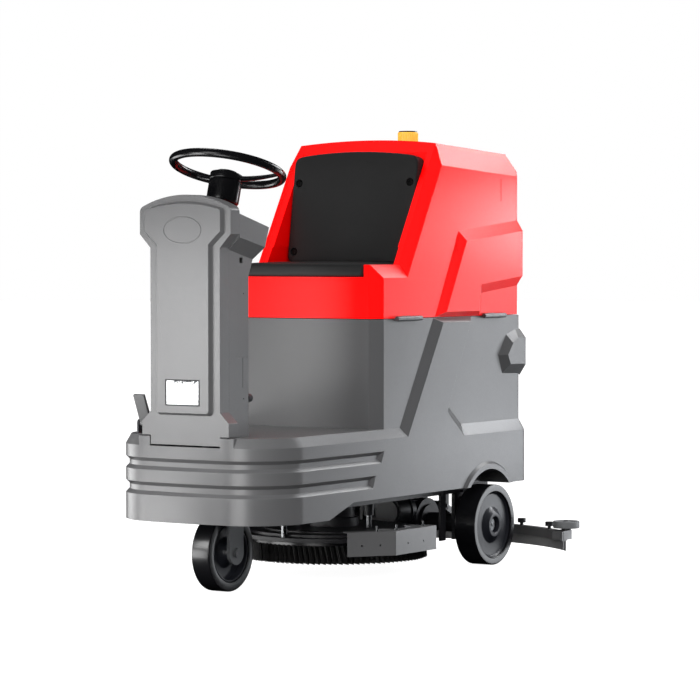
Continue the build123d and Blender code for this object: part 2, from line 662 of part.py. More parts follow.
def front_tyre():
    centre = (0, FRONT_WHEEL_Y, FRONT_WHEEL_R)
    return tyre(FRONT_WHEEL_WIDTH / 2, centre, FRONT_WHEEL_R, 77.0, 5.0)


def front_hub():
    y, z = FRONT_WHEEL_Y, FRONT_WHEEL_R
    hub = tube((-26, y, z), (26, y, z), 77.0, 72.0) + rod((-7, y, z), (7, y, z), 73.0)
    hub += rod((-34, y, z), (34, y, z), 24.0)
    for side in (-1, 1):
        hub += Plane(origin=(side * 7, y, z), z_dir=(side, 0, 0)) * Cone(40, 26, 14, align=ON_BASE)
    return hub - rod((-40, y, z), (40, y, z), AXLE_R + RUNNING)


# --- rear axle -------------------------------------------------------------------------------------
HALF_SHAFT_R = 12.0
AXLE_TUBE_R = 26.0


def rear_tyre(side):
    x = side * (REAR_WHEEL_FACE - REAR_WHEEL_WIDTH / 2)
    return tyre(REAR_WHEEL_WIDTH / 2, (x, REAR_WHEEL_Y, REAR_WHEEL_R), REAR_WHEEL_R, 93.5, 6.0)


def rear_hub(side):
    """Dished wheel centre: a flat disc with a conical boss, drawn as half profile (x, r)."""
    face = REAR_WHEEL_FACE
    profile = Polygon((face - 64, 93.5), (face - 5, 93.5), (face - 12, 88), (face - 12, 52), (face - 7, 44),
                      (face + 2, 34), (face + 2, 22.6), (face - 14, 21), (face - 14, HALF_SHAFT_R),
                      (face - 60, HALF_SHAFT_R), (face - 60, 40), (face - 34, 50), (face - 34, 84),
                      (face - 64, 88), align=None)
    hub = Pos(0, REAR_WHEEL_Y, REAR_WHEEL_R) * revolve(profile, axis=Axis.X, revolution_arc=360)
    return hub if side > 0 else mirror(hub, Plane.YZ)


def half_shaft(side):
    y, z = REAR_WHEEL_Y, REAR_WHEEL_R
    shaft = rod((side * 40, y, z), (side * (REAR_WHEEL_FACE - 9), y, z), HALF_SHAFT_R)
    return shaft + rod((side * (REAR_WHEEL_FACE - 13.8), y, z), (side * (REAR_WHEEL_FACE - 8), y, z), 17.0)


def transaxle():
    y, z = REAR_WHEEL_Y, REAR_WHEEL_R
    case = rod((-46, y, z), (46, y, z), 66.0) + rod((-54, y, z), (54, y, z), 48.0)
    case += rod((-196, y, z), (196, y, z), AXLE_TUBE_R)
    for side in (-1, 1):
        x0, x1 = sorted((side * 190, side * 196))
        case += rod((x0, y, z), (x1, y, z), 34.0)
    # flange and neck for the drive motor
    case += rod((0, y - 60, z + 34), (0, y - 80, z + 34), 46.0)
    case += block(-30, 30, y - 66, y - 20, z + 8, z + 62)
    case -= rod((-200, y, z), (200, y, z), HALF_SHAFT_R + RUNNING)
    return case - rod((-30, y, z), (30, y, z), 42.0)


def drive_motor():
    y, z = REAR_WHEEL_Y - 80, REAR_WHEEL_R + 34
    motor = rod((0, y, z), (0, y - 62, z), 42.0) + rod((0, y - 60, z), (0, y - 70, z), 36.0)
    return motor + rod((-34, y - 20, z + 20), (-34, y - 50, z + 20), 14.0)


# --- brush deck ------------------------------------------------------------------------------------
BRISTLE = 50.0
DISC_Z = BRUSH_BOTTOM + BRISTLE
DECK_BASE_Z = 113.0


def bristle_ring():
    """Ring of slanted bristle rows under the disc: a closed band with a notched edge."""
    return tube((0, BRUSH_Y, BRUSH_BOTTOM), (0, BRUSH_Y, DISC_Z), BRUSH_R, 150.0)


def brush_disc():
    """Brush block, and the drive plate on the motor shaft that carries it."""
    disc = rod((0, BRUSH_Y, DISC_Z), (0, BRUSH_Y, DISC_Z + 10), BRUSH_R - 6)
    disc += rod((0, BRUSH_Y, DISC_Z + 9), (0, BRUSH_Y, DISC_Z + 13), 60.0)
    disc -= rod((0, BRUSH_Y, DISC_Z - 1), (0, BRUSH_Y, DISC_Z + 20), 40.0)
    plate = rod((0, BRUSH_Y, DISC_Z + 1), (0, BRUSH_Y, DISC_Z + 9), 40.0)
    return solids_of(disc, plate + rod((0, BRUSH_Y, DISC_Z + 8), (0, BRUSH_Y, 150), 12.0))


def brush_deck():
    deck = rod((0, BRUSH_Y, DECK_BASE_Z), (0, BRUSH_Y, DECK_BASE_Z + 5), 262.0)
    deck += rod((0, BRUSH_Y, DECK_BASE_Z + 4), (0, BRUSH_Y, DECK_BASE_Z + 13), 238.0)
    deck += rod((0, BRUSH_Y, DECK_BASE_Z + 12), (0, BRUSH_Y, DECK_BASE_Z + 18), 196.0)
    deck += tube((0, BRUSH_Y, 106), (0, BRUSH_Y, DECK_BASE_Z + 1), 262.0, 256.0)
    deck -= rod((0, BRUSH_Y, 100), (0, BRUSH_Y, 140), 20.0)
    deck -= rod((0, BRUSH_Y, 100), (0, BRUSH_Y, DECK_BASE_Z + 8), 64.0)
    return deck


DECK_TOP_Z = DECK_BASE_Z + 18


def brush_motor():
    motor = rod((0, BRUSH_Y, DECK_TOP_Z), (0, BRUSH_Y, DECK_TOP_Z + 26), 68.0)
    motor += rod((0, BRUSH_Y, DECK_TOP_Z + 25), (0, BRUSH_Y, 222), 58.0)
    return motor - rod((0, BRUSH_Y, 100), (0, BRUSH_Y, 152), 12.0 + RUNNING)


def lift_rods():
    """Two guide rods and the lift actuator's rod, all standing on the deck."""
    rods = []
    for x in (-BUSH_X, BUSH_X):
        rods.append(rod((x, BRUSH_Y, DECK_TOP_Z), (x, BRUSH_Y, 228), GUIDE_R))
    rods.append(rod((0, ACTUATOR_Y, DECK_BASE_Z + 5), (0, ACTUATOR_Y, 300), GUIDE_R))
    return solids_of(*rods)


def deck_actuator():
    y = ACTUATOR_Y
    housing = rod((0, y, 206), (0, y, 372), 22.0) + rod((0, y, 229), (0, y, 240), 30.0)
    housing += rod((48, y, 300), (48, y, 372), 20.0) + block(0, 48, y - 16, y + 16, 340, 368)
    return housing - rod((0, y, 200), (0, y, 362), GUIDE_R + RUNNING)


GUARD_Z0, GUARD_Z1 = 75.0, 140.0
GUARD_BEND = (285.0, -215.0)
GUARD_FRONT = (200.0, -322.0)
GUARD_REAR = (285.0, -6.0)
SHEET = 3.0


def guard_panel(a, b):
    """One flat panel of a guard between two plan points, with its top flange and two holes."""
    (ax, ay), (bx, by) = a, b
    length = sqrt((bx - ax) ** 2 + (by - ay) ** 2)
    tall = GUARD_Z1 - GUARD_Z0
    along = Vector((bx - ax) / length, (by - ay) / length, 0)
    plane = Plane(origin=(ax, ay, GUARD_Z0), x_dir=along, z_dir=(0, 0, 1))
    sheet = plane * Pos(length / 2, SHEET / 2, tall / 2) * Box(length, SHEET, tall)
    sheet += plane * Pos(length / 2, 18, tall - SHEET / 2) * Box(length, 36, SHEET)
    for share in (0.3, 0.68):
        sheet -= plane * Pos(length * share, 0, 28) * Rot(90, 0, 0) * Cylinder(2.6, 12)
    return sheet


def guard(side):
    """Bent sheet guard beside the brush, on two arms from the deck."""
    piece = guard_panel(GUARD_FRONT, GUARD_BEND) + guard_panel(GUARD_BEND, GUARD_REAR)
    piece += rod((*GUARD_BEND, GUARD_Z0), (*GUARD_BEND, GUARD_Z1), 0.8)
    for y in (-176.0, -40.0):
        piece += block(215, 252, y - 14, y + 14, GUARD_Z1 - SHEET, GUARD_Z1)
        piece += block(212, 218, y - 14, y + 14, 126, GUARD_Z1)
    return piece if side > 0 else mirror(piece, Plane.YZ)


def brush_guards():
    return solids_of(guard(1), guard(-1))


GUARD_STUDS = ((262.0, -176.0), (262.0, -40.0), (244.0, -246.0))


def guard_bolts():
    shapes = []
    for x, y in GUARD_STUDS:
        stud = rod((x, y, GUARD_Z1), (x, y, GUARD_Z1 + 14), 2.6)
        stud += rod((x, y, GUARD_Z1), (x, y, GUARD_Z1 + 4), 5.2)
        shapes += [stud, mirror(stud, Plane.YZ)]
    return solids_of(*shapes)


# --- squeegee ----------------------------------------------------------------------------------------
def squeegee_arc(r0, r1, z0, z1, half=SQUEEGEE_HALF):
    """Part of a shallow ring behind the machine, cut to the squeegee's width."""
    c = (0, SQUEEGEE_ARC_Y)
    ring = rod((*c, z0), (*c, z1), r1) - rod((*c, z0 - 1), (*c, z1 + 1), r0)
    return ring & block(-half, half, 300, 800, z0 - 1, z1 + 1)


ROLLER_X, ROLLER_Y = 371.0, 575.0
ROLLER_Z0, ROLLER_Z1 = 92.0, 112.0
ROLLER_R = 38.0


def squeegee_beam():
    mid = SQUEEGEE_ARC_R
    beam = squeegee_arc(mid - 10, mid + 12, 58, 84)
    for side in (-1, 1):
        x0, x1 = sorted((side * 350, side * 386))
        beam += block(x0, x1, ROLLER_Y - 44, ROLLER_Y + 6, 60, 86)
        beam += rod((side * ROLLER_X, ROLLER_Y, 60), (side * ROLLER_X, ROLLER_Y, ROLLER_Z0 - 1), 14.0)
        beam += rod((side * ROLLER_X, ROLLER_Y, 60), (side * ROLLER_X, ROLLER_Y, ROLLER_Z1 + 3), 6.0)
    # slots that hold the two blades
    beam -= squeegee_arc(mid - 5, mid - 1, 50, 79, SQUEEGEE_HALF + 4)
    beam -= squeegee_arc(mid + 4, mid + 8, 50, 79, SQUEEGEE_HALF + 4)
    # suction nozzle in the middle, and the bracket with the pin that the pull arm turns on
    centre_y = SQUEEGEE_ARC_Y + SQUEEGEE_ARC_R
    beam += rod((0, centre_y, 80), (0, centre_y, 128), 24.0)
    beam -= rod((0, centre_y, 50), (0, centre_y, 130), 20.0)
    beam += block(-60, 60, SWIVEL_Y - 26, centre_y - 16, 78, 86)
    beam += rod((0, SWIVEL_Y, 78), (0, SWIVEL_Y, 124), 8.0)
    return beam


def squeegee_blades():
    mid = SQUEEGEE_ARC_R
    front = squeegee_arc(mid - 5, mid - 1, 33, 78.5, SQUEEGEE_HALF + 1)
    rear = squeegee_arc(mid + 4, mid + 8, 29, 78.5, SQUEEGEE_HALF + 1)
    return solids_of(front, rear)


def squeegee_knobs():
    """Clamp knobs on top of the beam."""
    shapes = []
    for x in (-300, -175, 175, 300):
        y = SQUEEGEE_ARC_Y + sqrt(SQUEEGEE_ARC_R ** 2 - x * x)
        knob = rod((x, y, 84), (x, y, 92), 5.0) + rod((x, y, 92), (x, y, 104), 12.0)
        shapes.append(knob)
    return solids_of(*shapes)


def roller(side):
    x = side * ROLLER_X
    wheel = rod((x, ROLLER_Y, ROLLER_Z0), (x, ROLLER_Y, ROLLER_Z1), ROLLER_R)
    wheel -= rod((x, ROLLER_Y, ROLLER_Z1 - 5), (x, ROLLER_Y, ROLLER_Z1 + 1), ROLLER_R - 7)
    return wheel - rod((x, ROLLER_Y, ROLLER_Z0 - 1), (x, ROLLER_Y, ROLLER_Z1 + 1), 6.0 + RUNNING)


def squeegee_arm():
    y, z = ARM_PIVOT
    arm = rod((-31, y, z), (31, y, z), 13.0) + block(-24, 24, y, y + 30, z - 9, z + 9)
    drop = [(y + 20, z - 9), (y + 20, z + 9), (SWIVEL_Y - 60, 114), (SWIVEL_Y + 16, 114), (SWIVEL_Y + 16, 90),
            (SWIVEL_Y - 64, 90)]
    arm += side_prism(drop, -20, 20)
    arm += rod((0, SWIVEL_Y, 88), (0, SWIVEL_Y, 116), 20.0)
    arm -= rod((0, SWIVEL_Y, 80), (0, SWIVEL_Y, 130), 8.0 + RUNNING)
    # pivot pin through the frame's ears
    return arm + rod((-46, y, z), (46, y, z), 6.0 - RUNNING)


# --- recovery tank and seat ---------------------------------------------------------------------------
def roof_solid(lift=0.0):
    """Everything under the crowned roof, which falls slightly towards the rear."""
    y0, z0 = ROOF_FRONT
    y1, z1 = ROOF_REAR
    fall = (z0 - z1) / (y1 - y0)
    start = y0 - 400
    edge = z0 + fall * 400 + lift
    half = 320.0
    crown = edge + ROOF_CROWN
    eaves = crown - ROOF_CROWN * (half / CORNER_X) ** 2
    with BuildSketch(Plane.XZ.offset(-start)) as face:
        with BuildLine():
            Polyline((-half, eaves), (-half, 600), (half, 600), (half, eaves))
            ThreePointArc((half, eaves), (0, crown), (-half, eaves))
        make_face()
    return extrude(face.sketch, amount=1200, dir=(0, 1, -fall))


def tilted_slab(inset0, inset1, z0, z1, slope, pivot_y):
    """Loft between two plan outlines on planes that rise towards the rear by `slope`."""
    faces = []
    for inset, z in ((inset0, z0), (inset1, z1)):
        plane = Plane(origin=(0, pivot_y, z), x_dir=(1, 0, 0), z_dir=(0, -slope, 1))
        faces.append(plane * Pos(0, -pivot_y, 0) * tank_plan(inset, RED_REAR + STEP))
    return loft(faces, ruled=True)


def tank_outside():
    low = SEAM_Z + SEAM_GAP
    core = extrude(Pos(0, 0, low) * tank_plan(STEP, RED_REAR + STEP), amount=1300 - low)
    # seat box with bevelled side tops
    seat = core & block(-400, 400, TANK_FRONT - 1, 200, low - 1, SEAT_SIDE_Z)
    for side in (-1, 1):
        ridge = side * 226
        seat -= beyond((ridge, 0, SEAT_SIDE_Z), (ridge, 100, SEAT_SIDE_Z), (side * UPPER_HALF, 0, 818),
                       (side * 400, 0, 1000))
    # wings, cut back along their slanting front edges, and roof
    ahead = [(-400, 600), (WING_FOOT[0] - 177, 600), WING_FOOT, ROOF_FRONT, (120, 1240), (120, 1400), (-400, 1400)]
    upper = core & roof_solid()
    upper -= side_prism(ahead, -400, 400)
    upper &= block(-400, 400, -180, 600, low, 1400)
    for side in (-1, 1):
        x = side * CORNER_X
        w = side * UPPER_HALF
        upper -= beyond((x, -105, 853), (x, 90, 1188), (w, 76, 1126), (w, -400, 1000))
        upper -= beyond((x, 90, 1188), (x, 477, 1167), (w, 76, 1126), (w, 200, 1300))
    upper -= beyond((0, 477, 1166), (100, 477, 1166), (0, RED_REAR, 1108), (0, 700, 1300))
    return seat + upper


def red_bands():
    """Raised band that runs up from the seam and wraps round the rear corners."""
    slope = 0.094
    y0 = 188.0
    top_z, low_z = 918.0, 789.0
    band = tilted_slab(STEP, 0.0, low_z - 27, low_z, slope, y0)
    band += tilted_slab(0.0, 0.0, low_z, top_z, slope, y0)
    band += tilted_slab(0.0, STEP, top_z, top_z + 31, slope, y0)
    band &= block(-400, 400, 150, 700, 600, 1100)
    for side in (-1, 1):
        x, w = side * LOWER_HALF, side * UPPER_HALF
        band -= beyond((w, 165, 949), (w, 37, 711), (x, 188, 918), (w, -400, 900))
    low = SEAM_Z + SEAM_GAP
    base = [(165, 949), (300, 960), (292, 769), (280, low), (37, low)]
    top = [(188, 918), (290, 927.6), (267, 796), (255, 722), (79, 722)]
    return band + both_sides(raised_side(base, top))


BEACON_Y = 306.0
LID_HALF = 118.0
LID_Y0, LID_Y1 = 112.0, 250.0
LID_HINGE_Z = 1191.0
LID_BARREL_R = 4.0


def lid_block(grow, z0):
    return block(-LID_HALF - grow, LID_HALF + grow, LID_Y0 - grow, LID_Y1 + grow, z0, 1300)


def recovery_tank():
    low = SEAM_Z + SEAM_GAP
    tank = tank_outside() + red_bands()
    # seat well and the recess for the backrest
    recess = [(-400, SEAT_DECK_Z), (31, SEAT_DECK_Z), (77, 1172), (60, 1172), (-400, 1172)]
    tank -= block(-SEAT_HALF, SEAT_HALF, -400, 20, SEAT_DECK_Z, 900)
    tank -= side_prism(recess, -WING_INNER, WING_INNER)
    # hollow inside, lower at the flanks where the roof and the wings are bevelled
    floor = low + WALL
    front = TANK_FRONT + WALL
    under_seat = SEAT_DECK_Z - WALL
    inner = [(front, floor), (front, under_seat), (40, under_seat), (86, 1150), (470, 1128), (494, 1080),
             (496, floor)]
    tank -= side_prism(inner, -214, 214)
    front = CORNER_Y + 12
    flank = [(front, floor), (front, 804), (70, 804), (118, 1095), (480, 1085), (480, floor)]
    tank -= both_sides(side_prism(flank, 213, 243))
    # opening for the lid, with a rebate it rests on
    tank -= lid_block(1.5, 1172) & roof_solid(20)
    tank -= block(-LID_HALF + 10, LID_HALF - 10, LID_Y0 + 10, LID_Y1 - 10, 1100, 1300)
    tank -= rod((-61, LID_Y1, LID_HINGE_Z), (61, LID_Y1, LID_HINGE_Z), LID_BARREL_R + 0.5)
    # engraved corner line on each flank
    for x0, x1 in ((UPPER_HALF - 1.0, 270), (-270, -UPPER_HALF + 1.0)):
        tank -= block(x0, x1, 281, 401, 1093, 1094.5) + block(x0, x1, 399, 402, 1031, 1094)
    # holes for the backrest bolts
    for x, z in BACK_BOLTS:
        tank -= rod(back_point(x, z, 38), back_point(x, z, 60), 4.0)
    # pockets over the hinge barrels
    for y0, y1 in HINGE_SPANS:
        tank -= block(UPPER_HALF - 3, 280, y0 - 1, y1 + 1, SEAM_Z, SEAM_Z + 7.4)
    return tank


def tank_lid():
    lid = lid_block(0.0, 1173) & roof_solid(-0.8)
    return lid + rod((-60, LID_Y1, LID_HINGE_Z), (60, LID_Y1, LID_HINGE_Z), LID_BARREL_R)


BACK_FOOT = (-10.0, 877.0)
BACK_HEAD = (30.0, 1153.0)
BACK_THICK = 40.0
BACK_LEAN = atan2(BACK_HEAD[0] - BACK_FOOT[0], BACK_HEAD[1] - BACK_FOOT[1])
BACK_BOLTS = ((-183.0, 1080.0), (183.0, 1080.0), (-183.0, 888.0), (183.0, 888.0))


def back_point(x, z, depth):
    """Point in the leaning backrest: `depth` behind its front face at height z."""
    y = BACK_FOOT[0] + (z - BACK_FOOT[1]) * tan(BACK_LEAN)
    return (x, y + depth * cos(BACK_LEAN), z - depth * sin(BACK_LEAN))


def backrest_pad():
    half, low, high, rise, soft = 203.0, 858.0, 1152.0, 15.0, 22.0
    stretch = 1 / cos(BACK_LEAN)
    outward = Vector(0, -cos(BACK_LEAN), sin(BACK_LEAN))
    plane = Plane(origin=back_point(0, low, 0), x_dir=(1, 0, 0), z_dir=outward)
    tall = (high - low) * stretch
    with BuildSketch(plane) as face:
        with BuildLine():
            Polyline((-half, tall - soft), (-half, 0), (half, 0), (half, tall - soft))
            Line((half, tall - soft), (half - soft, tall))
            ThreePointArc((half - soft, tall), (0, tall + rise), (-half + soft, tall))
            Line((-half + soft, tall), (-half, tall - soft))
        make_face()
    pad = extrude(face.sketch, amount=-BACK_THICK)
    for x, z in BACK_BOLTS:
        pad -= rod(back_point(x, z, -2), back_point(x, z, 8), 11.0)
        pad -= rod(back_point(x, z, 0), back_point(x, z, BACK_THICK + 5), 4.2)
    return pad


def backrest_bolts():
    shapes = []
    for x, z in BACK_BOLTS:
        shapes.append(rod(back_point(x, z, 3), back_point(x, z, 8), 8.0)
                      + rod(back_point(x, z, 7), back_point(x, z, BACK_THICK + 12), 3.9))
    return solids_of(*shapes)


def seat_cushion():
    cushion = block(-205, 205, TANK_FRONT + 3, -8, SEAT_DECK_Z + 0.3, SEAT_SIDE_Z + 1)
    return fillet(cushion.edges().filter_by(Axis.Z), 12)


def beacon_base():
    base = rod((0, BEACON_Y, 1182), (0, BEACON_Y, 1194), 33.0)
    base += rod((0, BEACON_Y, 1188), (0, BEACON_Y, 1195), 31.0)
    return base - roof_solid()


def beacon_lens():
    lens = rod((0, BEACON_Y, 1195), (0, BEACON_Y, 1229), 29.5)
    return lens + rod((0, BEACON_Y, 1229), (0, BEACON_Y, 1233), 26.0)


def vacuum_motor():
    y = 380.0
    motor = rod((60, y, 1010), (60, y, 1090), 62.0) + rod((60, y, 1088), (60, y, 1120), 40.0)
    return motor + block(-10, 130, y - 70, y + 70, 1004, 1012) + rod((60, y, 930), (60, y, 1006), 20.0)


def batteries():
    shapes = []
    for x in (-78, 78):
        for y in (60, 330):
            case = block(x - 74, x + 74, y - 120, y + 120, 245.5, 500)
            for pole in (-80, 80):
                case += rod((x, y + pole, 499), (x, y + pole, 516), 8)
            shapes.append(case)
    return solids_of(*shapes)


# --- accelerator ---------------------------------------------------------------------------------------
def pedal_bracket():
    y, z = PEDAL_PIVOT
    low = DECK_Z - POCKET
    foot = block(PEDAL_X - 24, PEDAL_X + 24, y - 18, y + 18, low, low + 4)
    for x0, x1 in ((PEDAL_X - 24, PEDAL_X - 19), (PEDAL_X + 19, PEDAL_X + 24)):
        foot += block(x0, x1, y - 11, y + 11, low, z) + rod((x0, y, z), (x1, y, z), 11)
    return foot - rod((PEDAL_X - 30, y, z), (PEDAL_X + 30, y, z), 4.0)


def accelerator_pedal():
    y, z = PEDAL_PIVOT
    outline = [(y - 4, z - 4), (y + 5, z), (y - 30, z + 78), (y - 37, z + 75)]
    plate = side_prism(outline, PEDAL_X - 17, PEDAL_X + 17)
    plate += rod((PEDAL_X - 25, y, z), (PEDAL_X + 25, y, z), 4.0 - RUNNING)
    return plate + rod((PEDAL_X - 17, y, z), (PEDAL_X + 17, y, z), 7.5)


NODES = {
    "chassis_frame": chassis_frame, "base_body": base_body, "hinge_base": hinge_base,
    "hinge_tank": hinge_tank, "column_cover": column_cover, "column_housing": column_housing,
    "control_panel": control_panel, "headlight_bezel": headlight_bezel, "headlight_lens": headlight_lens,
    "column_knob": column_knob, "emergency_stop": emergency_stop, "key_switch": key_switch,
    "speed_knob": speed_knob, "horn_button": horn_button, "direction_rocker": direction_rocker,
    "steering_wheel": steering_wheel, "steering_hub": steering_hub, "steering_shaft": steering_shaft,
    "lower_shaft": lower_shaft, "shaft_sprocket": shaft_sprocket, "steering_chain": steering_chain,
    "fork": fork, "fork_sprocket": fork_sprocket, "fork_bearings": fork_bearings, "front_axle": front_axle,
    "front_tyre": front_tyre, "front_hub": front_hub,
    "transaxle": transaxle, "drive_motor": drive_motor,
    "brush_deck": brush_deck, "brush_motor": brush_motor, "lift_rods": lift_rods,
    "deck_actuator": deck_actuator, "brush_guards": brush_guards, "guard_bolts": guard_bolts,
    "brush_disc": brush_disc, "bristle_ring": bristle_ring,
    "squeegee_arm": squeegee_arm, "squeegee_beam": squeegee_beam, "squeegee_blades": squeegee_blades,
    "squeegee_knobs": squeegee_knobs,
    "recovery_tank": recovery_tank, "tank_lid": tank_lid, "seat_cushion": seat_cushion,
    "backrest_pad": backrest_pad, "backrest_bolts": backrest_bolts, "beacon_base": beacon_base,
    "beacon_lens": beacon_lens, "vacuum_motor": vacuum_motor, "batteries": batteries,
    "accelerator_pedal": accelerator_pedal, "pedal_bracket": pedal_bracket,
}
SIDED = {"tyre": rear_tyre, "hub": rear_hub, "half_shaft": half_shaft, "roller": roller}


def main():
    os.makedirs("parts", exist_ok=True)
    for name, make in NODES.items():
        export_step(Pos(0, DATUM_Y, 0) * make(), f"parts/{name}.step")
    for name, make in SIDED.items():
        for label, side in (("left", 1), ("right", -1)):
            export_step(Pos(0, DATUM_Y, 0) * make(side), f"parts/{label}_{name}.step")


main()
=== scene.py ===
"""Ride-on floor scrubber: the looks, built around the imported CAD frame."""
import json
import math

import bmesh
import bpy
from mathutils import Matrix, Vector


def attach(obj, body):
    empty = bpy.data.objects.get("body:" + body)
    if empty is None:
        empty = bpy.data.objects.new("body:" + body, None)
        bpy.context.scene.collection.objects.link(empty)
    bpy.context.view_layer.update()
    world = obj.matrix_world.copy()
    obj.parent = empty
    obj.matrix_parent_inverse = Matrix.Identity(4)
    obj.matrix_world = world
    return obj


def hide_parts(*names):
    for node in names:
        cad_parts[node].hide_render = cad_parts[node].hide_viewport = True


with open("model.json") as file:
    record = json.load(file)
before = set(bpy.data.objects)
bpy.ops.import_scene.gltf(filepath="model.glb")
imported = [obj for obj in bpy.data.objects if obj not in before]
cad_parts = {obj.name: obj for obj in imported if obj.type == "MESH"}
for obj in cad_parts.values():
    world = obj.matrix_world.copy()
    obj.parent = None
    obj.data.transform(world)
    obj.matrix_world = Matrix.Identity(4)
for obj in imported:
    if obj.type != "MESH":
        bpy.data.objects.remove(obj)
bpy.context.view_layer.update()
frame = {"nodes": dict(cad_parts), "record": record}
nodes = frame["nodes"]
bodies = frame["record"]["behaviour"]["bodies"]
body_of = {node: body for body, members in bodies.items() for node in members}
slot_of = {row["node"]: row["material_slot"] for row in frame["record"]["subparts"]}

MM = 0.001
DATUM_Y = 0.041            # shift between the drawing's Y datum and the frame, in metres


# --- materials --------------------------------------------------------------------------------
NOISE_LOW, NOISE_HIGH = 0.3, 0.7                     # the span of noise values that matters
CLOUD_SCALE, SPECK_SCALE, GRAIN_SCALE = 9.0, 160.0, 900.0      # noise per metre, coarse to fine
GRAIN_DEPTH = 0.0004
COAT_ROUGHNESS = 0.12


def shader(name, colour, roughness=0.5, metallic=0.0, **sockets):
    """A new material with one Principled shader; returns the material, its tree and its shader."""
    material = bpy.data.materials.new(name)
    material.use_nodes = True
    tree = material.node_tree
    bsdf = tree.nodes["Principled BSDF"]
    bsdf.inputs["Base Color"].default_value = (*colour, 1.0)
    bsdf.inputs["Roughness"].default_value = roughness
    bsdf.inputs["Metallic"].default_value = metallic
    for socket, value in sockets.items():
        bsdf.inputs[socket.replace("_", " ")].default_value = value
    return material, tree, bsdf


def noise(tree, scale, detail=3.0, roughness=0.5):
    """Noise in object space, in metres."""
    place = tree.nodes.new("ShaderNodeTexCoord")
    texture = tree.nodes.new("ShaderNodeTexNoise")
    texture.inputs["Scale"].default_value = scale
    texture.inputs["Detail"].default_value = detail
    texture.inputs["Roughness"].default_value = roughness
    tree.links.new(place.outputs["Object"], texture.inputs["Vector"])
    return texture.outputs["Fac"]


def spread(tree, source, low, high, start=NOISE_LOW, end=NOISE_HIGH):
    """The value `source` mapped from start..end to low..high."""
    node = tree.nodes.new("ShaderNodeMapRange")
    tree.links.new(source, node.inputs["Value"])
    node.inputs["From Min"].default_value = start
    node.inputs["From Max"].default_value = end
    node.inputs["To Min"].default_value = low
    node.inputs["To Max"].default_value = high
    return node.outputs["Result"]


def mottle(tree, bsdf, source, dark, light):
    """Base colour that runs between two colours with `source`."""
    ramp = tree.nodes.new("ShaderNodeValToRGB")
    ends = ((NOISE_LOW, dark), (NOISE_HIGH, light))
    for element, (position, colour) in zip(ramp.color_ramp.elements, ends):
        element.position = position
        element.color = (*colour, 1)
    tree.links.new(source, ramp.inputs["Fac"])
    tree.links.new(ramp.outputs["Color"], bsdf.inputs["Base Color"])


def bump(tree, bsdf, source, strength, distance):
    """Surface relief from `source`, `distance` metres deep at full strength."""
    node = tree.nodes.new("ShaderNodeBump")
    node.inputs["Strength"].default_value = strength
    node.inputs["Distance"].default_value = distance
    tree.links.new(source, node.inputs["Height"])
    tree.links.new(node.outputs["Normal"], bsdf.inputs["Normal"])


def shade(colour, factor):
    """The colour made lighter or darker, no channel past 1."""
    return tuple(min(1.0, c * factor) for c in colour)


def moulded(name, colour, roughness, grain, vary=0.05, coat=0.0, metallic=0.0, fine=GRAIN_SCALE,
            uneven=0.05, **sockets):
    """Moulded plastic, paint or metal: slight mottling, uneven gloss and a fine surface grain."""
    material, tree, bsdf = shader(name, colour, roughness, metallic, **sockets)
    bsdf.inputs["Coat Weight"].default_value = coat
    bsdf.inputs["Coat Roughness"].default_value = COAT_ROUGHNESS
    cloud = noise(tree, CLOUD_SCALE)
    mottle(tree, bsdf, cloud, shade(colour, 1 - vary), shade(colour, 1 + vary))
    speck = noise(tree, SPECK_SCALE, 4.0, 0.6)
    gloss = spread(tree, speck, roughness - uneven, roughness + uneven)
    tree.links.new(gloss, bsdf.inputs["Roughness"])
    bump(tree, bsdf, noise(tree, fine, 2.0), grain, GRAIN_DEPTH)
    return material


